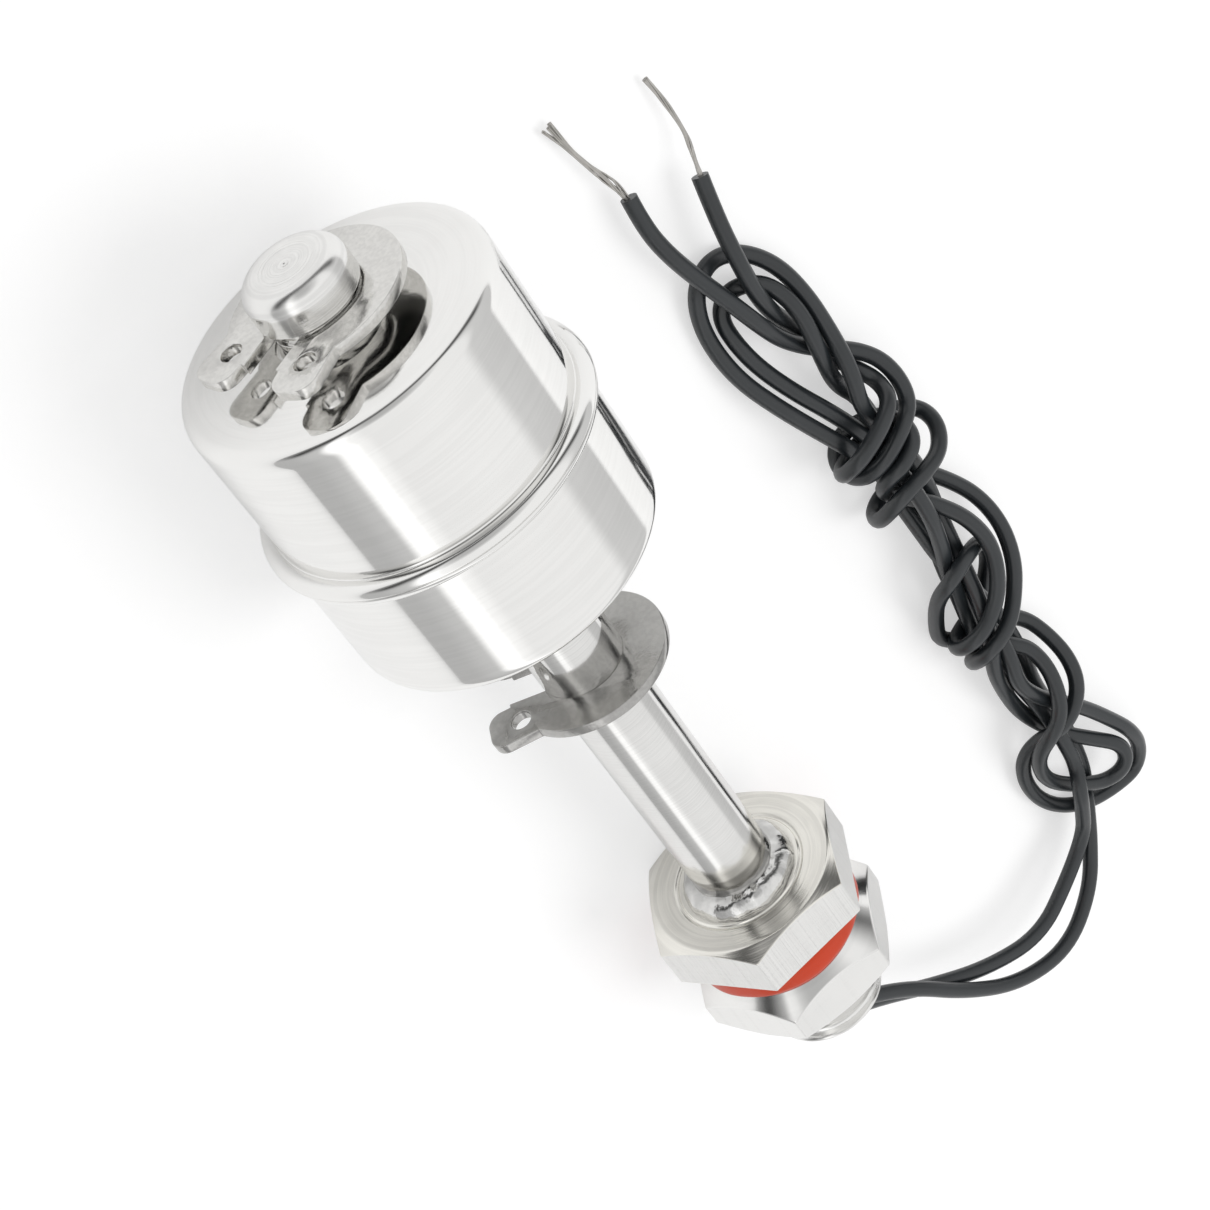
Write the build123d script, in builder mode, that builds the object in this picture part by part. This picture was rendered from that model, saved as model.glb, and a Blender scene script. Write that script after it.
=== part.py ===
"""Side-lying stainless float level switch with two knotted leads, one solid per piece.

Millimetres, +Z up, table at z = 0, stem along X. Stations are distances along the stem,
counted from the sealing face of the hexagon flange, positive towards the closed tip.
"""
import os
from math import asin, atan2, cos, hypot, pi, sin, sqrt, tan

from build123d import *

os.makedirs("parts", exist_ok=True)

# Stem and closed tip
STEM_D = 8.0
STEM_WALL = 0.8
STEM_SEAT_L = 14.5         # length of the tube inside the fitting
TIP_SEAM = 82.7            # station where the cap sits on the end of the tube
TIP_L = 2.4
CAP_D = 10.2
TIP_ROUND = 1.3
TIP_MARK_R = 0.4
TIP_MARK_DEPTH = 0.2
SPIGOT_L = 4.0

# Fitting, thread, gasket and nut
HEX_AF = 18.4
FLANGE_T = 5.4
HEX_CONE_IN = 0.35         # the corner chamfer starts this far inside the flats
HEX_CONE_DROP = 1.05
LATHE_RING_R = 6.3         # fine turned ring on the flange's upper face
LATHE_RING_W = 0.25
LATHE_RING_DEPTH = 0.15
THREAD_D = 12.0
SHANK_L = 15.7
SHANK_CHAMFER = 0.8
LEAD_BORE_D = 6.4
GASKET_D = 17.4
GASKET_T = 3.4
GASKET_ROUND = 0.5
NUT_T = 5.4
NUT_CONE_IN = 1.2          # the nut's face is coned from this far inside the flats
NUT_CONE_DROP = 1.7
NUT_BACK_DROP = 0.7
FACE_GAP = 0.05            # free play between nut and gasket
THREAD_PLAY = 0.05         # radial play between nut and thread
WELD_REACH = 1.4
WELD_ROUND = 1.3

# Float
FLOAT_L = 28.6
SEAM_RISE = 13.6           # the seam's height above the float's lower end
FLOAT_R = 13.8             # upper shell; the lower one is larger by the step
SHELL_STEP = 0.4
SHELL_T = 0.3
INNER_ROUND = 0.7          # inside radius of the drawn edges
CROWN = 0.35               # slight dome of both end faces
BEAD_ROUND = 1.0
FREE_UP = 1.5              # free way of the float up to the upper ring
FREE_DOWN = 13.2           # free way of the float down to the lower ring
SLEEVE_PLAY = 0.08         # radial play of the float on the stem
SLEEVE_T = 0.3
MAGNET_D = 13.0
MAGNET_L = 6.0
MAGNET_CHAMFER = 0.4
COLLAR_D = 11.6
COLLAR_T = 1.0

# Retaining rings
RING_T = 1.0
RING_D = 15.2
RING_OFF = 0.35            # the outer edge is eccentric, away from the lugs
RING_SEAT_DEPTH = 0.35     # depth of the grooves in the stem
THROAT_W = 3.6
LUG_L = 6.0
LUG_W = 4.2
LUG_OUT = 5.95
LUG_SIDE = 4.15
LUG_ROUND = 1.4
LUG_TURN = 8.0
LUG_HOLE_D = 1.9
UPPER_RING_DROP = 2.4      # from the cap down to the upper ring's groove
UPPER_RING_TURN = 110.0    # direction of the lugs, counted from straight down
LOWER_RING_TURN = 57.0

# Reed contact inside the stem
REED_RISE = 20.5           # middle of the glass above the lower ring
GLASS_D = 2.2
GLASS_L = 14.0
GLASS_T = 0.25
GLASS_SEAL = 1.6
GLASS_ROUND = 0.77
BLADE_W = 1.2
BLADE_T = 0.2
BLADE_LAP = 1.5
CONTACT_GAP = 0.15
LEG_D = 0.5
LEG_L = 6.0
LEG_LAP = 0.6              # the leg reaches this far past the seal to its blade
HOLDER_OVER = 2.0          # the holder reaches this far past each end of the glass
VENT_W = 1.6
VENT_DEPTH = 0.5
CONDUCTOR_D = 0.7
CONDUCTOR_BEND = 2.0
CONDUCTOR_HOOK = 0.8
CROSS_LOW = 12.0           # the return conductor moves outwards between these stations
CROSS_HIGH = 20.0
SLEEVING_D = 1.2
SLEEVING_OUT = 2.0
SOLDER_D = 1.6
SOLDER_FILM = 0.05
LEG_STUB = 0.3

# Leads
LEAD_D = 1.6
LEAD_GAP = 0.3             # resin between the two leads
LEAD_IN = 3.0              # length of insulation inside the thread end
LEAD_OUT = 2.6             # straight way out of the thread end
POTTING_SINK = 0.4
POTTING_RISE = 2.5         # the resin reaches this far up inside the tube
BARE_D = 0.6
HANK_LIFT = 0.15           # the hank's solid stays this far above the table

# Places that follow from the sizes above
stem_r = STEM_D / 2
cap_r = CAP_D / 2
tube_bore_r = stem_r - STEM_WALL
ring_seat_r = stem_r - RING_SEAT_DEPTH
thread_r = THREAD_D / 2
stem_foot = FLANGE_T - STEM_SEAT_L
tip_end = TIP_SEAM + TIP_L
upper_ring_low = TIP_SEAM - UPPER_RING_DROP
float_top = upper_ring_low - FREE_UP
float_low = float_top - FLOAT_L
lower_ring_low = float_low - FREE_DOWN - RING_T
bead_station = float_low + SEAM_RISE
float_low_r = FLOAT_R + SHELL_STEP
bead_mid_r = float_low_r
nut_top = -GASKET_T - FACE_GAP
nut_low = nut_top - NUT_T
flat_r = HEX_AF / 2
corner_r = flat_r / cos(pi / 6)
sleeve_in_r = stem_r + SLEEVE_PLAY
sleeve_out_r = sleeve_in_r + SLEEVE_T
lead_side = (LEAD_D + LEAD_GAP) / 2
lead_root = LEAD_IN - SHANK_L

# The switch lies on the bead of its float and on the lowest flat of its nut
rise = bead_mid_r - flat_r
reach = bead_station - nut_low
tilt = atan2(rise, reach) + asin(BEAD_ROUND / hypot(reach, rise))
tip_x = (tip_end - TIP_ROUND) * cos(tilt) + (cap_r - TIP_ROUND) * sin(tilt) + TIP_ROUND
tail_x = -SHANK_L * cos(tilt) - (thread_r - SHANK_CHAMFER) * sin(tilt)
foot_z = flat_r * cos(tilt) - nut_low * sin(tilt)
origin = Vector(-(tip_x + tail_x) / 2, 0, foot_z)
along = Vector(cos(tilt), 0, sin(tilt))
upward = Vector(-sin(tilt), 0, cos(tilt))
sideways = Vector(0, 1, 0)
stem_axis = Axis(origin, along)
stem_plane = Plane(origin=origin, x_dir=-upward, z_dir=along)
# Half plane through the axis: local x is the radius, local y is the station
profile_plane = Plane(origin=origin, x_dir=upward, z_dir=upward.cross(along))


def place(station, down=0.0, side=0.0):
    """Point at a station of the stem, moved down and sideways from the axis."""
    return origin + along * station - upward * down + sideways * side


def ring_plane(station, turn):
    """Plane across the stem with its local x turned from straight down to one side."""
    outward = -upward * cos(turn * pi / 180) + sideways * sin(turn * pi / 180)
    return Plane(origin=place(station), x_dir=outward, z_dir=along)


def fillet_radii(points, name):
    """Largest smooth arc radius for each corner of a route, printed with the route's length."""
    pts = [Vector(*p) for p in points]
    radii = []
    for before, here, after in zip(pts, pts[1:], pts[2:]):
        first, second = here - before, after - here
        turn = first.get_angle(second)
        radii.append(0.45 * min(first.length, second.length) / tan(turn * pi / 360))
    length = sum((b - a).length for a, b in zip(pts, pts[1:]))
    print(name, "radii", [round(r, 1) for r in radii], "length", round(length, 1))
    return radii


# Tube of the stem with the two grooves that seat the rings
with BuildPart() as stem_tube:
    with BuildSketch(profile_plane):
        with BuildLine():
            outer = [(stem_r, stem_foot)]
            for low in (lower_ring_low, upper_ring_low):
                outer += [(stem_r, low), (ring_seat_r, low)]
                outer += [(ring_seat_r, low + RING_T), (stem_r, low + RING_T)]
            outer += [(stem_r, TIP_SEAM)]
            Polyline(
                (tube_bore_r, stem_foot), *outer, (tube_bore_r, TIP_SEAM), close=True
            )
        make_face()
    revolve(axis=stem_axis)
stem_tube.part.label = "stem_tube"

# Turned cap, wider than the tube, with a spigot inside it and a small centre mark
with BuildPart() as end_cap:
    with BuildSketch(profile_plane):
        with BuildLine():
            Polyline(
                (0, TIP_SEAM - SPIGOT_L),
                (tube_bore_r, TIP_SEAM - SPIGOT_L),
                (tube_bore_r, TIP_SEAM),
                (cap_r, TIP_SEAM),
                (cap_r, tip_end - TIP_ROUND),
            )
            RadiusArc(
                (cap_r, tip_end - TIP_ROUND), (cap_r - TIP_ROUND, tip_end), -TIP_ROUND
            )
            Polyline(
                (cap_r - TIP_ROUND, tip_end),
                (TIP_MARK_R, tip_end),
                (0, tip_end - TIP_MARK_DEPTH),
                (0, TIP_SEAM - SPIGOT_L),
            )
        make_face()
    revolve(axis=stem_axis)
end_cap.part.label = "end_cap"

# Hexagon flange and threaded shank in one turned piece
with BuildPart() as hex_fitting:
    with BuildSketch(stem_plane):
        RegularPolygon(flat_r, 6, major_radius=False, rotation=30)
    extrude(amount=FLANGE_T)
    with BuildSketch(profile_plane):
        with BuildLine():
            Polyline(
                (0, 0),
                (corner_r, 0),
                (corner_r, FLANGE_T - HEX_CONE_DROP),
                (flat_r - HEX_CONE_IN, FLANGE_T),
                (0, FLANGE_T),
                close=True,
            )
        make_face()
    revolve(axis=stem_axis, mode=Mode.INTERSECT)
    with BuildSketch(profile_plane):
        with BuildLine():
            Polyline(
                (0, 0),
                (thread_r, 0),
                (thread_r, -SHANK_L + SHANK_CHAMFER),
                (thread_r - SHANK_CHAMFER, -SHANK_L),
                (0, -SHANK_L),
                close=True,
            )
        make_face()
    revolve(axis=stem_axis)
    # Stepped bore: the tube's seat above, the way out of the leads below
    with BuildSketch(profile_plane):
        with BuildLine():
            Polyline(
                (0, -SHANK_L),
                (LEAD_BORE_D / 2, -SHANK_L),
                (LEAD_BORE_D / 2, stem_foot),
                (stem_r, stem_foot),
                (stem_r, FLANGE_T),
                (0, FLANGE_T),
                close=True,
            )
        make_face()
        # Fine ring that the lathe left on the flange
        with Locations((LATHE_RING_R, FLANGE_T)):
            Rectangle(LATHE_RING_W, 2 * LATHE_RING_DEPTH)
    revolve(axis=stem_axis, mode=Mode.SUBTRACT)
hex_fitting.part.label = "hex_fitting"

# Weld between stem and flange
with BuildPart() as weld_bead:
    with BuildSketch(profile_plane):
        with BuildLine():
            Line((stem_r, FLANGE_T), (stem_r + WELD_REACH, FLANGE_T))
            RadiusArc(
                (stem_r + WELD_REACH, FLANGE_T), (stem_r, FLANGE_T + WELD_REACH), -WELD_ROUND
            )
            Line((stem_r, FLANGE_T + WELD_REACH), (stem_r, FLANGE_T))
        make_face()
    revolve(axis=stem_axis)
weld_bead.part.label = "weld_bead"


def shell_profile(radius, face, inward):
    """Outline of one drawn half shell: end face, rounded edge, wall and half of the seam bead."""
    shoulder = face - inward * CROWN
    lip_rise = sqrt(BEAD_ROUND**2 - (bead_mid_r - radius) ** 2)
    inner_r = radius - SHELL_T
    edge_round = INNER_ROUND + SHELL_T
    Line((sleeve_out_r, face), (radius - edge_round, shoulder))
    RadiusArc(
        (radius - edge_round, shoulder),
        (radius, shoulder - inward * edge_round),
        edge_round * inward,
    )
    Line((radius, shoulder - inward * edge_round), (radius, bead_station + inward * lip_rise))
    turn = asin(lip_rise / BEAD_ROUND)
    if radius < bead_mid_r:
        turn = pi - turn
    middle = turn / 2
    ThreePointArc(
        (radius, bead_station + inward * lip_rise),
        (
            bead_mid_r + BEAD_ROUND * cos(middle),
            bead_station + inward * BEAD_ROUND * sin(middle),
        ),
        (bead_mid_r + BEAD_ROUND, bead_station),
    )
    Polyline(
        (bead_mid_r + BEAD_ROUND, bead_station),
        (inner_r, bead_station),
        (inner_r, shoulder - inward * (SHELL_T + INNER_ROUND)),
    )
    RadiusArc(
        (inner_r, shoulder - inward * (SHELL_T + INNER_ROUND)),
        (inner_r - INNER_ROUND, shoulder - inward * SHELL_T),
        -INNER_ROUND * inward,
    )
    Polyline(
        (inner_r - INNER_ROUND, shoulder - inward * SHELL_T),
        (sleeve_out_r, face - inward * SHELL_T),
        (sleeve_out_r, face),
    )


# Upper drawn shell of the float
with BuildPart() as float_shell_upper:
    with BuildSketch(profile_plane):
        with BuildLine():
            shell_profile(FLOAT_R, float_top, 1)
        make_face()
    revolve(axis=stem_axis)
float_shell_upper.part.label = "float_shell_upper"

# Lower drawn shell of the float
with BuildPart() as float_shell_lower:
    with BuildSketch(profile_plane):
        with BuildLine():
            shell_profile(float_low_r, float_low, -1)
        make_face()
    revolve(axis=stem_axis)
float_shell_lower.part.label = "float_shell_lower"

# Tube through the float that rides on the stem
with BuildPart() as float_sleeve:
    with BuildSketch(stem_plane.offset(float_low)):
        Circle(sleeve_out_r)
        Circle(sleeve_in_r, mode=Mode.SUBTRACT)
    extrude(amount=FLOAT_L)
float_sleeve.part.label = "float_sleeve"

# Ring magnet round the sleeve
with BuildPart() as ring_magnet:
    with BuildSketch(stem_plane.offset(bead_station - MAGNET_L / 2)):
        Circle(MAGNET_D / 2)
        Circle(sleeve_out_r, mode=Mode.SUBTRACT)
    extrude(amount=MAGNET_L)
    magnet_rims = ring_magnet.edges().filter_by(GeomType.CIRCLE)
    chamfer(magnet_rims.group_by(SortBy.RADIUS)[-1], length=MAGNET_CHAMFER)
ring_magnet.part.label = "ring_magnet"

# Push-on collars that hold the magnet
with BuildPart() as magnet_collar_upper:
    with BuildSketch(stem_plane.offset(bead_station + MAGNET_L / 2)):
        Circle(COLLAR_D / 2)
        Circle(sleeve_out_r, mode=Mode.SUBTRACT)
    extrude(amount=COLLAR_T)
magnet_collar_upper.part.label = "magnet_collar_upper"

with BuildPart() as magnet_collar_lower:
    with BuildSketch(stem_plane.offset(bead_station - MAGNET_L / 2 - COLLAR_T)):
        Circle(COLLAR_D / 2)
        Circle(sleeve_out_r, mode=Mode.SUBTRACT)
    extrude(amount=COLLAR_T)
magnet_collar_lower.part.label = "magnet_collar_lower"

# Outline of a retaining ring with its two plier lugs, lugs towards local +X
with BuildSketch() as ring_outline:
    with Locations((-RING_OFF, 0)):
        Circle(RING_D / 2)
    for hand in (-1, 1):
        with Locations(Location((LUG_OUT, hand * LUG_SIDE), hand * LUG_TURN)):
            RectangleRounded(LUG_L, LUG_W, LUG_ROUND)
    Circle(ring_seat_r, mode=Mode.SUBTRACT)
    with Locations((RING_D / 2, 0)):
        Rectangle(RING_D, THROAT_W, mode=Mode.SUBTRACT)
    with Locations((LUG_OUT, LUG_SIDE), (LUG_OUT, -LUG_SIDE)):
        Circle(LUG_HOLE_D / 2, mode=Mode.SUBTRACT)

# Retaining ring between the float and the tip
with BuildPart() as upper_ring:
    with BuildSketch(ring_plane(upper_ring_low, UPPER_RING_TURN)):
        add(ring_outline.sketch)
    extrude(amount=RING_T)
upper_ring.part.label = "upper_ring"

# Retaining ring below the float
with BuildPart() as lower_ring:
    with BuildSketch(ring_plane(lower_ring_low, LOWER_RING_TURN)):
        add(ring_outline.sketch)
    extrude(amount=RING_T)
lower_ring.part.label = "lower_ring"

# Silicone gasket under the flange
with BuildPart() as gasket:
    with BuildSketch(profile_plane):
        with Locations(((GASKET_D / 2 + thread_r) / 2, -GASKET_T / 2)):
            RectangleRounded(GASKET_D / 2 - thread_r, GASKET_T, GASKET_ROUND)
    revolve(axis=stem_axis)
gasket.part.label = "gasket"

# Thin lock nut, coned towards the gasket
with BuildPart() as lock_nut:
    with BuildSketch(stem_plane.offset(nut_low)):
        RegularPolygon(flat_r, 6, major_radius=False, rotation=30)
    extrude(amount=NUT_T)
    with BuildSketch(profile_plane):
        with BuildLine():
            Polyline(
                (thread_r + THREAD_PLAY, nut_low),
                (flat_r, nut_low),
                (corner_r, nut_low + NUT_BACK_DROP),
                (corner_r, nut_top - NUT_CONE_DROP),
                (flat_r - NUT_CONE_IN, nut_top),
                (thread_r + THREAD_PLAY, nut_top),
                close=True,
            )
        make_face()
    revolve(axis=stem_axis, mode=Mode.INTERSECT)
lock_nut.part.label = "lock_nut"

# Sealed glass of the reed contact
glass_r = GLASS_D / 2
reed_mid = lower_ring_low + REED_RISE
glass_low = reed_mid - GLASS_L / 2
glass_top = reed_mid + GLASS_L / 2
holder_low = glass_low - HOLDER_OVER
holder_l = GLASS_L + 2 * HOLDER_OVER
with BuildPart() as reed_glass:
    with BuildSketch(stem_plane.offset(glass_low)):
        Circle(glass_r)
    extrude(amount=GLASS_L)
    fillet(reed_glass.edges().filter_by(GeomType.CIRCLE), radius=GLASS_ROUND)
    with BuildSketch(stem_plane.offset(glass_low + GLASS_SEAL)):
        Circle(glass_r - GLASS_T)
    extrude(amount=GLASS_L - 2 * GLASS_SEAL, mode=Mode.SUBTRACT)
    with BuildSketch(stem_plane.offset(glass_low)):
        Circle(LEG_D / 2)
    extrude(amount=GLASS_L, mode=Mode.SUBTRACT)
reed_glass.part.label = "reed_glass"

# The two blades lap in the middle of the glass with a small gap
blade_shift = (BLADE_T + CONTACT_GAP) / 2
with BuildPart() as reed_blade_lower:
    with BuildSketch(stem_plane.offset(glass_low - LEG_L)):
        Circle(LEG_D / 2)
    extrude(amount=LEG_L + GLASS_SEAL + LEG_LAP)
    with BuildSketch(stem_plane.offset(glass_low + GLASS_SEAL)):
        with Locations((blade_shift, 0)):
            Rectangle(BLADE_T, BLADE_W)
    extrude(amount=GLASS_L / 2 - GLASS_SEAL + BLADE_LAP / 2)
reed_blade_lower.part.label = "reed_blade_lower"

with BuildPart() as reed_blade_upper:
    with BuildSketch(stem_plane.offset(glass_top - GLASS_SEAL - LEG_LAP)):
        Circle(LEG_D / 2)
    extrude(amount=LEG_L + GLASS_SEAL + LEG_LAP)
    with BuildSketch(stem_plane.offset(reed_mid - BLADE_LAP / 2)):
        with Locations((-blade_shift, 0)):
            Rectangle(BLADE_T, BLADE_W)
    extrude(amount=GLASS_L / 2 - GLASS_SEAL + BLADE_LAP / 2)
reed_blade_upper.part.label = "reed_blade_upper"

# Moulded holder that centres the glass in the tube and guides the return wire
wire_off = (glass_r + tube_bore_r) / 2
with BuildPart() as reed_holder:
    with BuildSketch(stem_plane.offset(holder_low)):
        Circle(tube_bore_r)
        Circle(glass_r, mode=Mode.SUBTRACT)
        with Locations((0, wire_off)):
            Circle(SLEEVING_D / 2, mode=Mode.SUBTRACT)
        with Locations((tube_bore_r, 0), (-tube_bore_r, 0)):
            Rectangle(2 * VENT_DEPTH, VENT_W, mode=Mode.SUBTRACT)
    extrude(amount=holder_l)
reed_holder.part.label = "reed_holder"

# Stripped conductor from the first lead to the lower leg of the reed contact
joint_low = glass_low - LEG_L + LEG_STUB + SOLDER_D / 2
joint_top = glass_top + LEG_L - LEG_STUB - SOLDER_D / 2
beside_leg = LEG_D / 2 + SOLDER_FILM + CONDUCTOR_D / 2
with BuildPart() as inner_conductor_a:
    with BuildLine() as conductor_a_line:
        FilletPolyline(
            place(lead_root, 0, -lead_side),
            place(joint_low - 4 * CONDUCTOR_BEND, 0, -lead_side),
            place(joint_low - 2 * CONDUCTOR_BEND, 0, -beside_leg),
            place(joint_low, 0, -beside_leg),
            radius=CONDUCTOR_BEND,
        )
    with BuildSketch(Plane(origin=place(lead_root, 0, -lead_side), x_dir=-upward, z_dir=along)):
        Circle(CONDUCTOR_D / 2)
    sweep(path=conductor_a_line.line)
inner_conductor_a.part.label = "inner_conductor_a"

# Return conductor from the second lead, past the glass, to the upper leg
with BuildPart() as inner_conductor_b:
    with BuildLine() as conductor_b_line:
        FilletPolyline(
            place(lead_root, 0, lead_side),
            place(CROSS_LOW, 0, lead_side),
            place(CROSS_HIGH, 0, wire_off),
            place(joint_top, 0, wire_off),
            place(joint_top, 0, LEG_D / 2 + SOLDER_FILM),
            radius=CONDUCTOR_HOOK,
        )
    with BuildSketch(Plane(origin=place(lead_root, 0, lead_side), x_dir=-upward, z_dir=along)):
        Circle(CONDUCTOR_D / 2)
    sweep(path=conductor_b_line.line)
inner_conductor_b.part.label = "inner_conductor_b"

# Insulating sleeve on the return conductor beside the glass
with BuildPart() as return_sleeve:
    with BuildSketch(stem_plane.offset(holder_low - SLEEVING_OUT)):
        with Locations((0, wire_off)):
            Circle(SLEEVING_D / 2)
            Circle(CONDUCTOR_D / 2, mode=Mode.SUBTRACT)
    extrude(amount=holder_l + 2 * SLEEVING_OUT)
return_sleeve.part.label = "return_sleeve"

# Solder joints on the two legs
with BuildPart() as solder_lower:
    with Locations(Location(place(joint_low))):
        Sphere(SOLDER_D / 2)
    add(reed_blade_lower.part, mode=Mode.SUBTRACT)
    add(inner_conductor_a.part, mode=Mode.SUBTRACT)
solder_lower.part.label = "solder_lower"

with BuildPart() as solder_upper:
    with Locations(Location(place(joint_top))):
        Sphere(SOLDER_D / 2)
    add(reed_blade_upper.part, mode=Mode.SUBTRACT)
    add(inner_conductor_b.part, mode=Mode.SUBTRACT)
solder_upper.part.label = "solder_upper"

# Resin that seals the thread end round the two leads
potting_low = POTTING_SINK - SHANK_L
potting_top = stem_foot + POTTING_RISE
with BuildPart() as potting_plug:
    with BuildSketch(stem_plane.offset(potting_low)):
        Circle(LEAD_BORE_D / 2)
    extrude(amount=stem_foot - potting_low)
    with BuildSketch(stem_plane.offset(stem_foot)):
        Circle(tube_bore_r)
    extrude(amount=potting_top - stem_foot)
    with BuildSketch(stem_plane.offset(potting_low)):
        with Locations((0, lead_side), (0, -lead_side)):
            Circle(LEAD_D / 2)
    extrude(amount=lead_root - potting_low, mode=Mode.SUBTRACT)
    with BuildSketch(stem_plane.offset(lead_root)):
        with Locations((0, lead_side), (0, -lead_side)):
            Circle(CONDUCTOR_D / 2)
    extrude(amount=potting_top - lead_root, mode=Mode.SUBTRACT)
potting_plug.part.label = "potting_plug"

# Routes of the two leads from the thread end to the knotted hank, on the table beside the stem
LEAD_A_ROUTE = [
    (-57.4, -6.8, 8.4),
    (-63.8, -11.1, 7.9),
    (-69.4, -16.4, 7.0),
    (-71.7, -23.0, 6.2),
    (-69.0, -28.9, 5.4),
    (-63.4, -33.0, 4.4),
    (-57.2, -36.0, 3.2),
]
LEAD_B_ROUTE = [
    (-56.8, -3.7, 6.9),
    (-61.4, -8.9, 6.3),
    (-65.8, -14.9, 5.8),
    (-68.4, -21.6, 5.3),
    (-66.2, -27.6, 4.7),
    (-61.0, -31.7, 3.8),
    (-55.4, -34.5, 2.8),
]
TAIL_A_ROUTE = [
    (5.8, -33.9, 2.6),
    (11.2, -31.9, 3.4),
    (17.1, -30.0, 3.6),
    (22.2, -29.0, 2.9),
    (26.6, -29.4, 2.0),
]
TAIL_B_ROUTE = [
    (8.4, -34.9, 2.6),
    (11.7, -34.1, 3.4),
    (16.8, -34.0, 3.7),
    (21.1, -34.9, 3.0),
    (23.7, -35.7, 2.3),
]
BARE_A_ROUTE = [(26.6, -29.4, 2.0), (31.1, -28.0, 1.2), (36.1, -27.1, 0.6)]
BARE_B_ROUTE = [(23.7, -35.7, 2.3), (28.3, -37.1, 1.3), (33.4, -36.5, 0.6)]

lead_straight = -SHANK_L - LEAD_OUT
lead_a_start = [place(lead_root, 0, -lead_side), place(lead_straight, 0, -lead_side)]
lead_a_points = [tuple(p) for p in lead_a_start] + LEAD_A_ROUTE
with BuildPart() as lead_a:
    with BuildLine() as lead_a_line:
        FilletPolyline(*lead_a_points, radius=fillet_radii(lead_a_points, "lead_a"))
    with BuildSketch(Plane(origin=lead_a_line.line @ 0, z_dir=lead_a_line.line % 0)):
        Circle(LEAD_D / 2)
    sweep(path=lead_a_line.line)
lead_a.part.label = "lead_a"

lead_b_start = [place(lead_root, 0, lead_side), place(lead_straight, 0, lead_side)]
lead_b_points = [tuple(p) for p in lead_b_start] + LEAD_B_ROUTE
with BuildPart() as lead_b:
    with BuildLine() as lead_b_line:
        FilletPolyline(*lead_b_points, radius=fillet_radii(lead_b_points, "lead_b"))
    with BuildSketch(Plane(origin=lead_b_line.line @ 0, z_dir=lead_b_line.line % 0)):
        Circle(LEAD_D / 2)
    sweep(path=lead_b_line.line)
lead_b.part.label = "lead_b"

# Outer shape of the knotted hank: X, middle on Y, half width and half height
HANK_SECTIONS = [
    (-64.2, -39.3, 2.6, 1.1),
    (-60.7, -37.6, 5.4, 2.0),
    (-55.2, -37.2, 5.9, 2.3),
    (-46.2, -38.9, 3.8, 2.4),
    (-33.2, -38.0, 4.7, 2.5),
    (-19.2, -38.3, 4.3, 2.5),
    (-9.2, -36.2, 5.5, 2.4),
    (2.8, -33.8, 5.6, 2.1),
    (10.8, -32.6, 4.6, 1.9),
    (15.4, -31.9, 2.2, 1.0),
]
with BuildPart() as lead_hank:
    for x, y, half_w, half_h in HANK_SECTIONS:
        with BuildSketch(Plane((x, y, half_h + HANK_LIFT), x_dir=(0, 1, 0), z_dir=(1, 0, 0))):
            Ellipse(half_w, half_h)
    loft(ruled=True)
lead_hank.part.label = "lead_hank"

# Cut ends of the leads, which come out through the top loop of the hank
with BuildPart() as tail_a:
    with BuildLine() as tail_a_line:
        FilletPolyline(*TAIL_A_ROUTE, radius=fillet_radii(TAIL_A_ROUTE, "tail_a"))
    with BuildSketch(Plane(origin=tail_a_line.line @ 0, z_dir=tail_a_line.line % 0)):
        Circle(LEAD_D / 2)
    sweep(path=tail_a_line.line)
tail_a.part.label = "tail_a"

with BuildPart() as tail_b:
    with BuildLine() as tail_b_line:
        FilletPolyline(*TAIL_B_ROUTE, radius=fillet_radii(TAIL_B_ROUTE, "tail_b"))
    with BuildSketch(Plane(origin=tail_b_line.line @ 0, z_dir=tail_b_line.line % 0)):
        Circle(LEAD_D / 2)
    sweep(path=tail_b_line.line)
tail_b.part.label = "tail_b"

# Stripped strands
with BuildPart() as bare_end_a:
    with BuildLine() as bare_a_line:
        FilletPolyline(*BARE_A_ROUTE, radius=fillet_radii(BARE_A_ROUTE, "bare_end_a"))
    with BuildSketch(Plane(origin=bare_a_line.line @ 0, z_dir=bare_a_line.line % 0)):
        Circle(BARE_D / 2)
    sweep(path=bare_a_line.line)
bare_end_a.part.label = "bare_end_a"

with BuildPart() as bare_end_b:
    with BuildLine() as bare_b_line:
        FilletPolyline(*BARE_B_ROUTE, radius=fillet_radii(BARE_B_ROUTE, "bare_end_b"))
    with BuildSketch(Plane(origin=bare_b_line.line @ 0, z_dir=bare_b_line.line % 0)):
        Circle(BARE_D / 2)
    sweep(path=bare_b_line.line)
bare_end_b.part.label = "bare_end_b"

export_step(stem_tube.part, "parts/stem_tube.step")
export_step(end_cap.part, "parts/end_cap.step")
export_step(hex_fitting.part, "parts/hex_fitting.step")
export_step(weld_bead.part, "parts/weld_bead.step")
export_step(float_shell_upper.part, "parts/float_shell_upper.step")
export_step(float_shell_lower.part, "parts/float_shell_lower.step")
export_step(float_sleeve.part, "parts/float_sleeve.step")
export_step(ring_magnet.part, "parts/ring_magnet.step")
export_step(magnet_collar_upper.part, "parts/magnet_collar_upper.step")
export_step(magnet_collar_lower.part, "parts/magnet_collar_lower.step")
export_step(upper_ring.part, "parts/upper_ring.step")
export_step(lower_ring.part, "parts/lower_ring.step")
export_step(gasket.part, "parts/gasket.step")
export_step(lock_nut.part, "parts/lock_nut.step")
export_step(reed_glass.part, "parts/reed_glass.step")
export_step(reed_blade_lower.part, "parts/reed_blade_lower.step")
export_step(reed_blade_upper.part, "parts/reed_blade_upper.step")
export_step(reed_holder.part, "parts/reed_holder.step")
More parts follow.
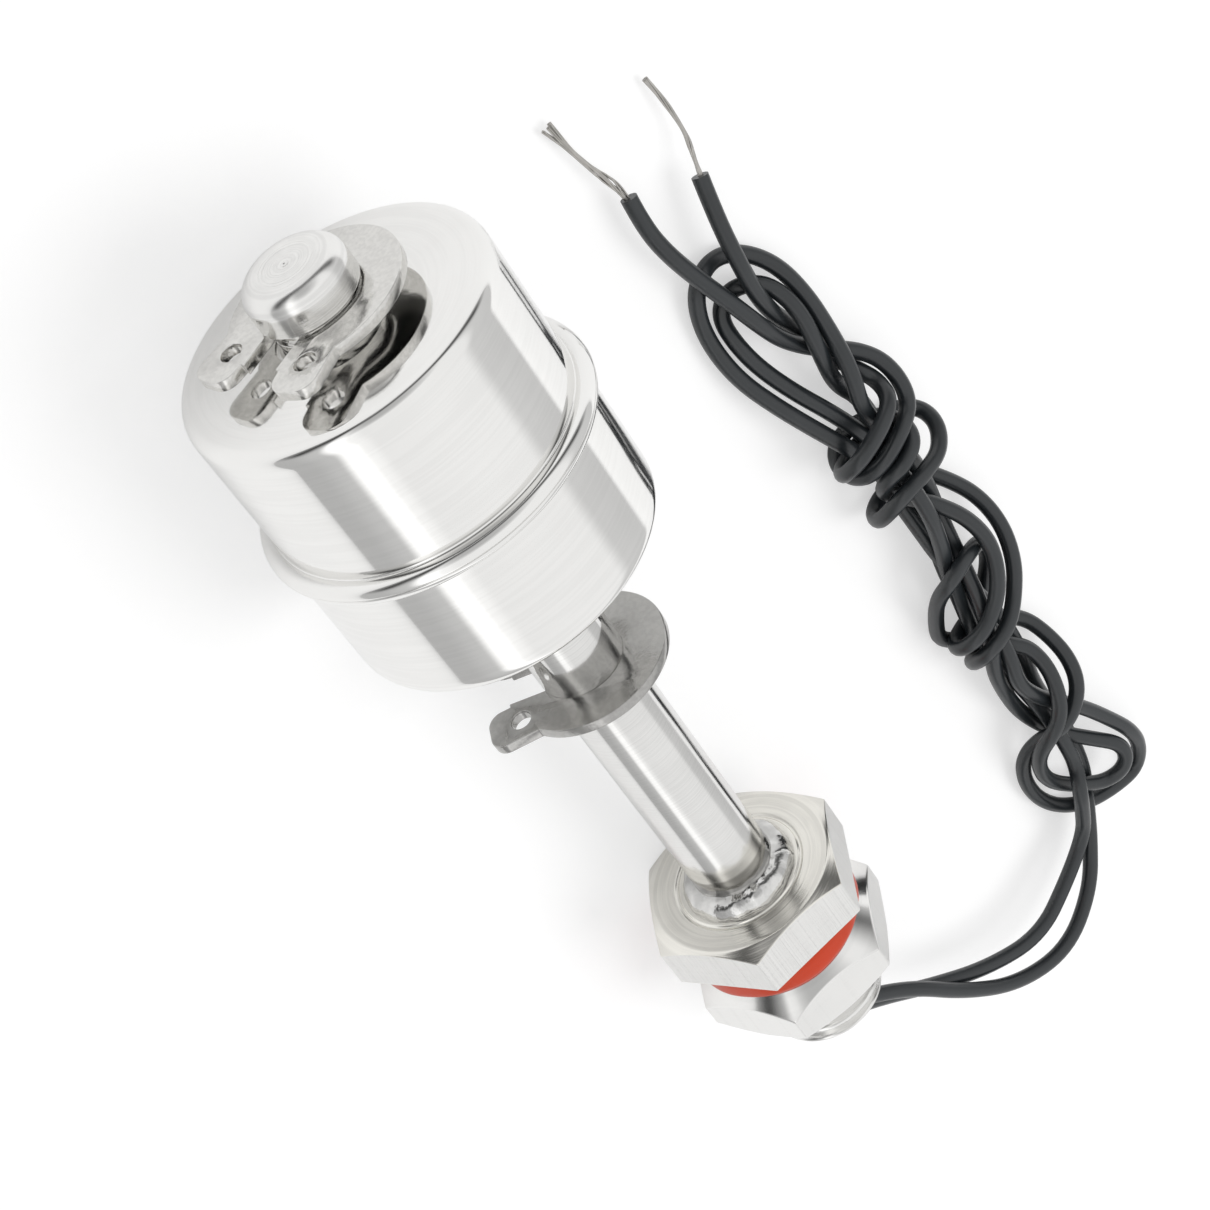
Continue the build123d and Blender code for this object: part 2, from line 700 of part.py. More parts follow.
export_step(inner_conductor_a.part, "parts/inner_conductor_a.step")
export_step(inner_conductor_b.part, "parts/inner_conductor_b.step")
export_step(return_sleeve.part, "parts/return_sleeve.step")
export_step(solder_lower.part, "parts/solder_lower.step")
export_step(solder_upper.part, "parts/solder_upper.step")
export_step(potting_plug.part, "parts/potting_plug.step")
export_step(lead_a.part, "parts/lead_a.step")
export_step(lead_b.part, "parts/lead_b.step")
export_step(lead_hank.part, "parts/lead_hank.step")
export_step(tail_a.part, "parts/tail_a.step")
export_step(tail_b.part, "parts/tail_b.step")
export_step(bare_end_a.part, "parts/bare_end_a.step")
export_step(bare_end_b.part, "parts/bare_end_b.step")
print("tilt", tilt, "axis height", foot_z, "origin x", origin.X)
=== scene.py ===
"""Small stainless float level switch lying on a table, with its two leads knotted into a hank.

Everything stands in the shared frame, in metres, with the stem along X. Lengths in this file
are written in millimetres unless a line says otherwise, and a station is a distance along the
stem from the sealing face of the hexagon flange, positive towards the closed tip.
"""
from math import atan2, cos, pi, radians, sin, sqrt

import bmesh
import bpy
import numpy as np
from bpy.props import FloatProperty, FloatVectorProperty, IntProperty, PointerProperty
from mathutils import Matrix


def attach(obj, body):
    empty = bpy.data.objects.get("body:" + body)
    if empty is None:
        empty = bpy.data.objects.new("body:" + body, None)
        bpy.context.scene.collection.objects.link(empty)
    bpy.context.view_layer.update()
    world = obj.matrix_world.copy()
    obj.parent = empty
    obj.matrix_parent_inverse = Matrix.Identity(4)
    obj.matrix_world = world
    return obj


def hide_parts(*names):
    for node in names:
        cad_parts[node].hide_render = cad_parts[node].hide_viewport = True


bl_info = {
    "name": "Float level switch",
    "version": (1, 0, 0),
    "blender": (4, 5, 0),
    "location": "3D View > Sidebar > Level switch",
    "description": "Surfaces and finishes of a small stainless float level switch",
    "category": "Object",
}

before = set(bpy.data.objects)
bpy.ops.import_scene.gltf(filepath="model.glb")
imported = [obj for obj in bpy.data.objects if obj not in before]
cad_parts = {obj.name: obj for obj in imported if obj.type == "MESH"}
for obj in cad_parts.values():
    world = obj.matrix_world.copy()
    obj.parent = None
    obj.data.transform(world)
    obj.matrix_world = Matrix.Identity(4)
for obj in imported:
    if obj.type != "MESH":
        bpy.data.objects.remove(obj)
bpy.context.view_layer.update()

MM = 0.001

# Place of the stem
TILT = 0.0824473423
FOOT = np.array([-34.526689, 0.0, 9.897582])
ALONG = np.array([cos(TILT), 0.0, sin(TILT)])
UPWARD = np.array([-sin(TILT), 0.0, cos(TILT)])
SIDE = np.array([0.0, 1.0, 0.0])

# Stem and tip
STEM_R = 4.0
STEM_BORE_R = 3.2
STEM_FOOT = -9.1
SEAT_R = 3.65
RING_T = 1.0
LOWER_RING = 36.0
UPPER_RING = 80.3
TIP_SEAM = 82.7
TIP_END = 85.1
TIP_R = 4.5
TIP_ROUND = 1.7
TIP_LOW = 81.55
TIP_RINGS = (2.35, 2.02, 1.15)
HEAT_LOW = 7.0               # darker zone that the weld's heat left on the tube
HEAT_HIGH = 9.2
HEAT_SLOPE = 3.0             # per millimetre at both its ends
HEAT_DEPTH = 0.55
TIP_SPIGOT = 78.7

WELD_REACH = 1.62            # mean width of the weld on the tube and on the flange
WELD_BOW = 0.40              # how far its skin bows out between them
WELD_STEPS = 240
TURN_STEPS = 192             # points round a plain turned surface

# Float
FLOAT_TOP = 78.8
FLOAT_LOW = 50.2
SEAM = 63.8
SEAM_GAP = 0.02              # half of the fine gap between the two shells at the seam
UPPER_R = 13.8
LOWER_R = 14.2
BEAD_R = 1.0
SHELL_T = 0.3
SLEEVE_R = 4.38
CROWN = 0.35

# Flange, thread, gasket and nut
FLAT_R = 9.2
CORNER_R = FLAT_R / cos(pi / 6)
FLANGE_T = 5.4
FLANGE_CONE_IN = 0.35
FLANGE_CONE_DROP = 1.05
LATHE_RING_R = 6.3
THREAD_R = 6.0
SHANK_L = 15.7
SHANK_CHAMFER = 0.8
THREAD_START = -0.35         # the thread begins below a short undercut at the flange
UNDERCUT_R = 5.3
THREAD_ROWS = 138
LEAD_BORE_R = 3.2
GASKET_R = 8.7
GASKET_T = 3.4
NUT_TOP = -3.45
NUT_LOW = -8.85
NUT_BORE_R = 6.05
NUT_CONE_IN = 1.2
NUT_CONE_DROP = 2.1
NUT_FLAT_R = 8.95
NUT_TURN = 3.5              # degrees that the nut stands turned from the flange
NUT_BACK_DROP = 0.7

# Routes of the two leads: out of the thread end, in an arc to the hank, along the bundle, round
# its top loop, back down, round the two lower lobes, up in wraps round the bundle, and out
LEAD_SIDE = 0.95
LEAD_ROOT = -12.7
LEAD_STRAIGHT = -18.3
LEAD_A = [
    (-57.4, -6.8, 8.4), (-63.8, -11.1, 7.9), (-69.4, -16.4, 7), (-71.7, -23, 6.2),
    (-69, -28.9, 5), (-65.6, -32.5, 3.1), (-62.4, -34, 3), (-61.9, -35.8, 1),
    (-59.3, -36.8, 0.9), (-55.8, -37.3, 0.8), (-51.6, -37.5, 0.9), (-46.7, -36.7, 1.6),
    (-41.2, -37.3, 2.2), (-35.5, -37.3, 2.5), (-30.2, -36.3, 2.6), (-25.3, -35.2, 2.8),
    (-20.5, -34.9, 3.1), (-15.8, -34.9, 2.3), (-11.1, -34.7, 3.3), (-6.9, -33, 4.9),
    (-3, -31.4, 3.7), (0.9, -29.9, 3), (4.8, -28.7, 1.9), (8.7, -28.4, 1.2),
    (12.3, -28.8, 1.2), (15.4, -30, 1.9), (16, -32.9, 1), (14.3, -35.7, 0.9),
    (11.3, -37.5, 1.7), (7.6, -37.9, 2.9), (3.7, -37.6, 3.9), (0.3, -36.7, 5.8),
    (-3.9, -35.6, 5.6), (-8.7, -36.8, 5.1), (-14.3, -38, 3.8), (-20.3, -37.3, 3.4),
    (-25.7, -36.5, 3.9), (-30.5, -35.6, 4.9), (-34.7, -34.3, 5.3), (-38.5, -33.1, 4.4),
    (-42.4, -33.2, 3.3), (-46.3, -33.7, 2.1), (-50.1, -34.8, 1.6), (-53.3, -36.5, 2.3),
    (-55.9, -38.6, 3.1), (-58.1, -40.4, 3.8), (-60.1, -40.3, 3.9), (-61.4, -39.1, 3.5),
    (-61.6, -37.2, 2.7), (-60, -35.3, 2.6), (-57.9, -33.3, 2.5), (-55.3, -32, 3),
    (-52.5, -31.8, 3.8), (-50.1, -32.5, 5), (-48.5, -34.1, 6.2), (-47.3, -36, 6.1),
    (-44.9, -37.1, 5.9), (-42.3, -37.8, 5), (-39.7, -37.5, 4), (-37.9, -35.9, 3.6),
    (-36.5, -35.5, 1.7), (-36, -33.2, 0.8), (-33.8, -31.2, 0.9), (-30.6, -31.5, 2.4),
    (-27.3, -32.2, 4.2), (-24.9, -33.7, 6.5), (-24.3, -36.9, 5.9), (-25.9, -39.2, 3.8),
    (-29, -39.9, 2.1), (-32.2, -38.5, 1.1), (-34.5, -35.9, 0.8), (-34.1, -33.3, 1.7),
    (-33.7, -31.4, 3.3), (-33, -31.3, 5.3), (-32.2, -33.1, 6.7), (-31.1, -35.7, 6.6),
    (-28.5, -37.8, 6.7), (-24.9, -39.1, 6.4), (-21.1, -38.6, 5.9), (-17.8, -36.9, 5.1),
    (-15.6, -35.1, 4.2), (-14.3, -34.1, 4.2), (-13.4, -33.6, 4.5), (-12.6, -33.5, 4.9),
    (-11.9, -33.7, 5.5), (-11.2, -34.3, 6.2), (-10.6, -35.7, 7), (-9.8, -37.9, 6.6),
    (-8.5, -38.6, 5.1), (-7, -37.5, 3.3), (-7.3, -35.1, 1.4), (-7.9, -33.7, 0.9),
    (-8.7, -32.7, 1), (-9.5, -32.1, 1.6), (-10.1, -32, 2.5), (-10.4, -32.2, 3.7),
    (-10.3, -33, 5.1), (-9.1, -35, 6.5), (-7.5, -37.7, 6.8), (-7, -39.9, 5.4),
    (-4.8, -40.6, 4.6), (-2.5, -40.4, 3.6), (-0.4, -39.1, 2.9), (1.4, -37.1, 2.5),
    (3.4, -35.3, 2.3), (5.9, -33.7, 2.9), (9, -32.5, 3.7), (12.7, -31.4, 3.8),
    (16.7, -30.2, 3.1), (20.5, -29.2, 3), (23.8, -28.9, 2.7), (26.7, -29.3, 2.3),
]
LEAD_B = [
    (-56.8, -3.7, 6.9), (-61.4, -8.9, 6.3), (-65.8, -14.9, 5.8), (-68.4, -21.6, 5.3),
    (-66.2, -27.6, 4.4), (-64, -32.1, 3.5), (-60.4, -32.9, 4.7), (-57.4, -33.6, 5.4),
    (-56.1, -35.3, 3.6), (-53, -35.4, 3.9), (-49.3, -35.7, 3.1), (-44.8, -35.2, 2.8),
    (-39.6, -34.5, 2.8), (-34.4, -33.7, 3.5), (-29.9, -34.4, 3.4), (-25.6, -34.6, 4.3),
    (-21.4, -35.2, 5.5), (-16.8, -35.5, 6.5), (-12.4, -35.7, 5.3), (-7.6, -35.2, 4.5),
    (-3.2, -33.7, 3.6), (0.8, -32, 2.9), (4.6, -30.8, 2), (8, -30.3, 1.6),
    (10.6, -30.6, 0.8), (12.2, -32, 1), (12.3, -33.8, 1.7), (10.6, -35.8, 2.2),
    (7.6, -36.3, 3.8), (3.3, -35.6, 4.4), (-1.8, -35.7, 2.7), (-6.6, -38, 0.3),
    (-10.3, -36.5, 3.5), (-16.1, -36.5, 2.4), (-22.2, -36.3, 1.8), (-27.8, -35.5, 0.9),
    (-32.3, -34.9, 1.7), (-35.3, -35.7, 3.7), (-38.1, -35, 5.2), (-41.2, -34.2, 5.2),
    (-44.5, -35.2, 4.7), (-47.7, -37, 4), (-51.2, -39.2, 3.4), (-55, -41, 3.3),
    (-58.7, -42.5, 3.1), (-62.2, -42.8, 2), (-65.1, -41.5, 1), (-64.6, -38.4, 1.3),
    (-63.9, -35.1, 0.9), (-61.6, -32.3, 0.8), (-58.3, -30.7, 1), (-54.8, -30.5, 1.3),
    (-51.9, -31.5, 2), (-50.3, -33.5, 3.4), (-49.5, -35.2, 5.4), (-48.5, -37.6, 5.7),
    (-46.8, -39.6, 5.1), (-44.4, -40.5, 4), (-41.9, -40.5, 2.5), (-39.4, -39.9, 1.1),
    (-37.4, -38, 0.8), (-38.2, -35.1, 0.9), (-37.6, -32.5, 2), (-36.1, -31.8, 4.5),
    (-34.5, -33.1, 6.7), (-33.5, -36, 7), (-32.2, -38.6, 5.7), (-29.5, -40.6, 5.2),
    (-26.1, -41.9, 4), (-22.5, -41.8, 2.6), (-19.2, -40.3, 1.6), (-16.4, -38.4, 1),
    (-15.9, -35.3, 0.8), (-16.4, -32.6, 1.2), (-15.9, -31.6, 3.8), (-14.3, -32.6, 5.9),
    (-12.9, -34.8, 7.3), (-13, -37.6, 6.8), (-13.1, -40, 5.7), (-12, -41.7, 4),
    (-10.8, -41.8, 1.9), (-9.3, -39.8, 1.1), (-9.8, -36.6, 0.7), (-8.8, -33.7, 2.5),
    (-8.5, -31.6, 3.7), (-8.1, -30.8, 5.1), (-7.3, -31.1, 6.5), (-6.2, -32.5, 7.8),
    (-5.3, -35.6, 7.6), (-4.7, -38.2, 6.3), (-3.9, -39, 3.9), (-2, -38.2, 2.8),
    (-0.5, -37.4, 1), (2.2, -37, 0.8), (5.1, -35.9, 1.3), (8.2, -34.5, 2.5),
    (11.6, -33.8, 3.5), (15.1, -33.8, 4.1), (18.4, -34.2, 3.8), (21.3, -34.8, 3.4),
    (24, -35.5, 2.9),
]
STRAND_SIDES = 7
OFF_TABLE = 0.05             # the lowest strand stays this far above the table
BARE_A = [(25.2, -29.1, 2.5), (27.4, -29.3, 2.2), (31.1, -28.0, 1.4), (36.1, -27.1, 0.9)]
BARE_B = [(22.6, -35.2, 3.1), (24.7, -35.8, 2.7), (28.6, -37.2, 1.6), (33.4, -36.7, 0.9)]

# What the metal sees around it: degrees round X from straight up towards +Y, and the brightness
SURROUND = [
    (-100, 0.62), (-86, 0.66), (-62, 0.70), (-48, 0.97), (-12, 0.98), (30, 0.96), (40, 1.10),
    (46, 1.35), (54, 1.30), (62, 0.62), (80, 0.52), (100, 0.50),
]
BRIGHTEST = 1.5              # brightness at the ramp's full white
MATT_LEVEL = 0.80            # brightness that matt surfaces get from all round
DIM_WAY = (0.830, 0.150, 0.537)
DIM_DEPTH = 0.45             # how much the dim patch by the camera takes away
HORIZON_DEPTH = 0.86         # how much the dark horizon takes away
TABLE_SEEN = 0.6             # part of the table's own colour that the camera sees
TABLE_GLOW = 0.50            # white added to it for the camera
TABLE_MIRROR_GLOW = 0.08     # white added to it in reflections


# What all lengths and all colours in the panel share
LENGTH = {"precision": 5, "unit": "LENGTH"}
COLOUR = {"subtype": "COLOR", "size": 3, "min": 0.0, "max": 1.0}


class LevelSwitchSizes(bpy.types.PropertyGroup):
    """Sizes of the fine forms."""

    thread_pitch: FloatProperty(
        name="Thread pitch",
        description="Distance between two crests of the thread",
        default=0.0015,
        min=0.0005,
        **LENGTH,
    )
    thread_depth: FloatProperty(
        name="Thread depth",
        description="Height of the thread from root to crest",
        default=0.0009,
        min=0.0001,
        **LENGTH,
    )
    edge_round: FloatProperty(
        name="Edge round",
        description="How far a turned edge is broken on each side",
        default=0.00012,
        min=0.00001,
        **LENGTH,
    )
    drawn_round: FloatProperty(
        name="Drawn edge",
        description="Outside radius of the drawn edges of the float",
        default=0.0013,
        min=0.0002,
        **LENGTH,
    )
    weld_ripple: FloatProperty(
        name="Weld ripple",
        description="Height of the ripples along the weld",
        default=0.00007,
        min=0.0,
        **LENGTH,
    )
    ring_round: FloatProperty(
        name="Ring edge",
        description="Width of the rounded edges of the retaining rings",
        default=0.00012,
        min=0.0,
        **LENGTH,
    )
    lead_thickness: FloatProperty(
        name="Lead thickness",
        description="Outside diameter of the insulation of a lead",
        default=0.0016,
        min=0.0006,
        **LENGTH,
    )
    strand_thickness: FloatProperty(
        name="Strand thickness",
        description="Diameter of one tinned strand",
        default=0.00016,
        min=0.00005,
        **LENGTH,
    )
    strand_count: IntProperty(
        name="Strands",
        description="Number of tinned strands in a lead",
        default=9,
        min=3,
        max=19,
    )


class LevelSwitchFinishes(bpy.types.PropertyGroup):
    """Colours and gloss of the finishes."""

    steel: FloatVectorProperty(
        name="Stainless steel",
        description="Colour of the bright stainless steel",
        default=(0.86, 0.855, 0.84),
        **COLOUR,
    )
    satin: FloatVectorProperty(
        name="Turned steel",
        description="Colour of the turned and stamped steel",
        default=(0.80, 0.79, 0.765),
        **COLOUR,
    )
    silicone: FloatVectorProperty(
        name="Silicone",
        description="Colour of the silicone gasket",
        default=(0.56, 0.046, 0.010),
        **COLOUR,
    )
    insulation: FloatVectorProperty(
        name="Insulation",
        description="Colour of the leads",
        default=(0.0174, 0.0210, 0.0238),
        **COLOUR,
    )
    tin: FloatVectorProperty(
        name="Tinned copper",
        description="Colour of the stripped strands",
        default=(0.60, 0.58, 0.55),
        **COLOUR,
    )
    table: FloatVectorProperty(
        name="Table",
        description="Colour of the pale table",
        default=(0.90, 0.90, 0.90),
        **COLOUR,
    )
    mirror_gloss: FloatProperty(
        name="Mirror roughness",
        description="Roughness of the polished float",
        default=0.07,
        min=0.0,
        max=1.0,
        subtype="FACTOR",
    )


def sizes():
    return bpy.context.scene.level_switch_sizes


def finishes():
    return bpy.context.scene.level_switch_finishes


# Geometry helpers


def stem_points(radius, angle, station):
    """Cylinder round the stem: foot + station along the stem + radius in the direction that is
    cos(angle) upward + sin(angle) sideways, in millimetres."""
    radius, angle, station = np.broadcast_arrays(radius, angle, station)
    outward = np.cos(angle)[..., None] * UPWARD + np.sin(angle)[..., None] * SIDE
    return FOOT + station[..., None] * ALONG + radius[..., None] * outward


def corner(radius, station):
    """A corner of a profile, as (radius, station), where either may change with the angle."""
    return np.stack(np.broadcast_arrays(np.asarray(radius, float), np.asarray(station, float)), -1)


def rounded(corners, rounds, closed=True, steps=7):
    """Profile through corners with each one rounded.

    At a corner C the path leaves the run before it at the distance r, at P, and joins the next
    run at the distance r, at Q, along (1-t)^2 P + 2t(1-t) C + t^2 Q. One more point stands a
    little outside P and Q, so that the flat runs keep their own shading.
    """
    points = np.stack(np.broadcast_arrays(*corners))
    extra = (1,) * (points.ndim - 1)
    reach = np.reshape(np.asarray(rounds, float), (-1,) + extra)

    def towards(neighbour):
        run = neighbour - points
        length = np.maximum(np.linalg.norm(run, axis=-1, keepdims=True), 1e-9)
        near = np.minimum(reach, 0.40 * length)
        return run / length * near

    before, after = towards(np.roll(points, 1, 0)), towards(np.roll(points, -1, 0))
    t = np.linspace(0, 1, steps).reshape((1, -1) + (1,) * (points.ndim - 1))
    p, c, q = (points + before)[:, None], points[:, None], (points + after)[:, None]
    curve = (1 - t) ** 2 * p + 2 * t * (1 - t) * c + t**2 * q
    hold_p, hold_q = (points + 1.2 * before)[:, None], (points + 1.2 * after)[:, None]
    path = np.concatenate([hold_p, curve, hold_q], axis=1)
    path = path.reshape((-1,) + points.shape[1:])
    if not closed:
        each = steps + 2
        path = path[each - 1 : len(path) - each + 1]
    return path


def mesh_object(name, vertices, faces, merge=2e-7):
    """A mesh of these vertices, in millimetres, with doubles merged and faces turned outwards."""
    mesh = bpy.data.meshes.new(name)
    mesh.from_pydata(vertices.reshape(-1, 3) * MM, [], faces)
    work = bmesh.new()
    work.from_mesh(mesh)
    bmesh.ops.remove_doubles(work, verts=work.verts, dist=merge)
    bmesh.ops.dissolve_degenerate(work, edges=work.edges, dist=merge)
    bmesh.ops.recalc_face_normals(work, faces=work.faces)
    work.to_mesh(mesh)
    work.free()
    mesh.shade_smooth()
    obj = bpy.data.objects.new(name, mesh)
    bpy.context.scene.collection.objects.link(obj)
    return obj


def grid_faces(rows, columns, close_rows=True, close_columns=True, start=0):
    """Quads between neighbouring rows and columns of a grid, wrapped round where it closes."""
    i = np.arange(rows if close_rows else rows - 1)
    j = np.arange(columns if close_columns else columns - 1)
    i, j = np.meshgrid(i, j, indexing="ij")
    k, m = (i + 1) % rows, (j + 1) % columns
    quads = np.stack([i * columns + j, i * columns + m, k * columns + m, k * columns + j], -1)
    return (quads.reshape(-1, 4) + start).tolist()


def turned(name, path, angles=None):
    """Surface of revolution: the closed profile path, as (radius, station), carried round the
    stem. A profile with a second axis has its own radius and station at each angle."""
    if angles is None:
        angles = np.linspace(0, 2 * pi, TURN_STEPS, endpoint=False)
    if path.ndim == 2:
        path = path[:, None]
    path = np.broadcast_to(path, (len(path), len(angles), 2))
    points = stem_points(path[..., 0], angles, path[..., 1])
    return mesh_object(name, points, grid_faces(len(path), len(angles)))


def hexagon(each=30, flat=FLAT_R, turn=0.0):
    """Angles and radii of a hexagon with slightly broken corners, turned by some degrees.

    The radius is the flats' radius over the p-norm of the cosines towards the six flats, with a
    high p. The angles crowd at the corners: 30 degrees times 1.5 s - 0.5 s^3, s from -1 to 1.
    """
    s = np.linspace(-1, 1, each, endpoint=False)
    part = radians(30) * (1.5 * s - 0.5 * s**3)
    angles = (np.arange(6)[:, None] * radians(60) + part).ravel()
    towards = np.cos(angles[:, None] - np.arange(6) * radians(60))
    power = 180.0
    radii = flat / (np.maximum(towards, 0) ** power).sum(1) ** (1 / power)
    return angles + radians(turn), radii


def place(station, side=0.0):
    """A point on the stem's axis, moved sideways."""
    return FOOT + station * ALONG + side * SIDE


# Shared shader groups


def new_group(name, inputs, outputs):
    """An empty shader group with inputs (name, default) and named outputs, all of them floats."""
    group = bpy.data.node_groups.new(name, "ShaderNodeTree")
    for label, default in inputs:
        socket = group.interface.new_socket(label, in_out="INPUT", socket_type="NodeSocketFloat")
        socket.default_value = default
    for label in outputs:
        group.interface.new_socket(label, in_out="OUTPUT", socket_type="NodeSocketFloat")
    return group


class Nodes:
    """Adds nodes to a tree and joins them in one call."""

    def __init__(self, tree):
        self.tree = tree

    def add(self, kind, values=None, **settings):
        """A node with these settings, whose inputs get a value or another node's output."""
        node = self.tree.nodes.new(kind)
        for key, value in settings.items():
            setattr(node, key, value)
        for key, value in (values or {}).items():
            if isinstance(value, bpy.types.NodeSocket):
                self.link(value, node.inputs[key])
            else:
                node.inputs[key].default_value = value
        return node

    def math(self, operation, *values, clamp=False):
        values = dict(enumerate(values))
        return self.add("ShaderNodeMath", values, operation=operation, use_clamp=clamp).outputs[0]

    def link(self, start, end):
        self.tree.links.new(start, end)


def stem_vector(n):
    """Object coordinates turned and centred on the stem: station, sideways, upward, in metres."""
    where = n.add("ShaderNodeTexCoord").outputs["Object"]
    turned_back = n.add(
        "ShaderNodeMapping",
        {"Vector": where, "Location": (FOOT * MM).tolist(), "Rotation": (0, -TILT, 0)},
        vector_type="TEXTURE",
    )
    return turned_back.outputs[0]


def stem_coordinates(n):
    """The three parts of that vector."""
    return n.add("ShaderNodeSeparateXYZ", {"Vector": stem_vector(n)}).outputs[:3]


def lathe_marks_group():
    """Fine rings round the stem: one noise along radius + station, which runs across a turned
    face and along a turned cylinder alike, broken up a little round the turn."""
    group = new_group(
        "lathe_marks",
        [("Marks per mm", 5.0), ("Unevenness", 0.25)],
        ["Height"],
    )
    n = Nodes(group)
    into, out = n.add("NodeGroupInput"), n.add("NodeGroupOutput")
    station, side, up = stem_coordinates(n)
    radius = n.math("SQRT", n.math("ADD", n.math("MULTIPLY", side, side), n.math("MULTIPLY", up, up)))
    run = n.math("MULTIPLY", n.math("ADD", radius, station), 1000.0)
    w = n.math("MULTIPLY", run, into.outputs["Marks per mm"])
    fine = n.add("ShaderNodeTexNoise", {"W": w, "Scale": 1.0, "Detail": 3.0, "Roughness": 0.6},
                 noise_dimensions="1D")
    turn = n.math("ARCTAN2", side, up)
    patch = n.add("ShaderNodeCombineXYZ", {"X": n.math("MULTIPLY", run, 0.8), "Y": turn})
    broad = n.add("ShaderNodeTexNoise", {"Vector": patch.outputs[0], "Scale": 1.3, "Detail": 2.0})
    uneven = n.math("MULTIPLY", n.math("SUBTRACT", broad.outputs["Fac"], 0.5),
                    into.outputs["Unevenness"])
    n.link(n.math("ADD", fine.outputs["Fac"], uneven), out.inputs["Height"])
    return group


def cut_lines_group():
    """Lines along the stem on the hexagon's sides: one noise of the angle round the stem, with a
    weaker one across it where the cutter changed its feed."""
    group = new_group(
        "cut_lines",
        [("Lines per mm", 4.0), ("Cross", 0.35)],
        ["Height"],
    )
    n = Nodes(group)
    into, out = n.add("NodeGroupInput"), n.add("NodeGroupOutput")
    station, side, up = stem_coordinates(n)
    way = n.math("MULTIPLY", n.math("ARCTAN2", side, up), FLAT_R)
    w = n.math("MULTIPLY", way, into.outputs["Lines per mm"])
    lines = n.add("ShaderNodeTexNoise", {"W": w, "Scale": 1.0, "Detail": 4.0, "Roughness": 0.7},
                  noise_dimensions="1D")
    v = n.math("MULTIPLY", station, 2600.0)
    cross = n.add("ShaderNodeTexNoise", {"W": v, "Scale": 1.0, "Detail": 2.0},
                  noise_dimensions="1D")
    total = n.math("ADD", lines.outputs["Fac"],
                   n.math("MULTIPLY", cross.outputs["Fac"], into.outputs["Cross"]))
    n.link(total, out.inputs["Height"])
    return group


def grain_group():
    """Two sizes of noise along the stem's directions: a fine one as height and a broad one
    as a mask for smudges and clouds."""
    group = new_group(
        "grain",
        [("Grains per mm", 6.0), ("Clouds per mm", 0.12)],
        ["Height", "Clouds"],
    )
    n = Nodes(group)
    into, out = n.add("NodeGroupInput"), n.add("NodeGroupOutput")
    vector = stem_vector(n)
    fine_scale = n.math("MULTIPLY", into.outputs["Grains per mm"], 1000.0)
    broad_scale = n.math("MULTIPLY", into.outputs["Clouds per mm"], 1000.0)
    fine = n.add("ShaderNodeTexNoise", {"Vector": vector, "Scale": fine_scale, "Detail": 3.0})
    broad = n.add("ShaderNodeTexNoise", {"Vector": vector, "Scale": broad_scale, "Detail": 4.0})
    n.link(fine.outputs["Fac"], out.inputs["Height"])
    n.link(broad.outputs["Fac"], out.inputs["Clouds"])
    return group


def blend_group():
    """A value that goes from Low to High with a mask, which is stretched about its middle."""
    group = new_group(
        "mask_range",
        [("Mask", 0.5), ("Low", 0.0), ("High", 1.0), ("Contrast", 2.0)],
        ["Value"],
    )
    n = Nodes(group)
    into, out = n.add("NodeGroupInput"), n.add("NodeGroupOutput")
    centred = n.math("MULTIPLY", n.math("SUBTRACT", into.outputs["Mask"], 0.5),
                     into.outputs["Contrast"])
    level = n.math("ADD", centred, 0.5, clamp=True)
    span = n.math("SUBTRACT", into.outputs["High"], into.outputs["Low"])
    value = n.math("ADD", into.outputs["Low"], n.math("MULTIPLY", level, span))
    n.link(value, out.inputs["Value"])
    return group


GROUPS = {}


def group_node(n, name, values=None):
    """Places a shared group, made on its first use."""
    makers = {
        "lathe_marks": lathe_marks_group,
        "cut_lines": cut_lines_group,
        "grain": grain_group,
        "mask_range": blend_group,
    }
    if name not in GROUPS:
        GROUPS[name] = makers[name]()
    return n.add("ShaderNodeGroup", values, node_tree=GROUPS[name])


def new_material(name):
    """A material with an empty tree but for its Principled shader and output."""
    material = bpy.data.materials.new(name)
    material.use_nodes = True
    return material, Nodes(material.node_tree), material.node_tree.nodes["Principled BSDF"]


def blend(n, level, first, second):
    """Mixes two colours, each a plain colour or another node's output."""
    mix = n.add("ShaderNodeMix", {"Factor": level}, data_type="RGBA")
    for socket, colour in zip(mix.inputs[6:8], (first, second)):
        if isinstance(colour, bpy.types.NodeSocket):
            n.link(colour, socket)
        else:
            socket.default_value = (*colour, 1)
    return mix.outputs[2]


def tinted(n, mask, colour, shade):
    """A colour that is darkened by the factor shade where a stretched mask is low."""
    level = group_node(n, "mask_range", {"Mask": mask}).outputs[0]
    return blend(n, level, [c * shade for c in colour], colour)


def raise_marks(n, shader, height, strength, relief):
    """Puts a height on the shader's normal, with a full relief in metres."""
    bump = n.add("ShaderNodeBump", {"Height": height, "Strength": strength, "Distance": relief})
    n.link(bump.outputs[0], shader.inputs["Normal"])


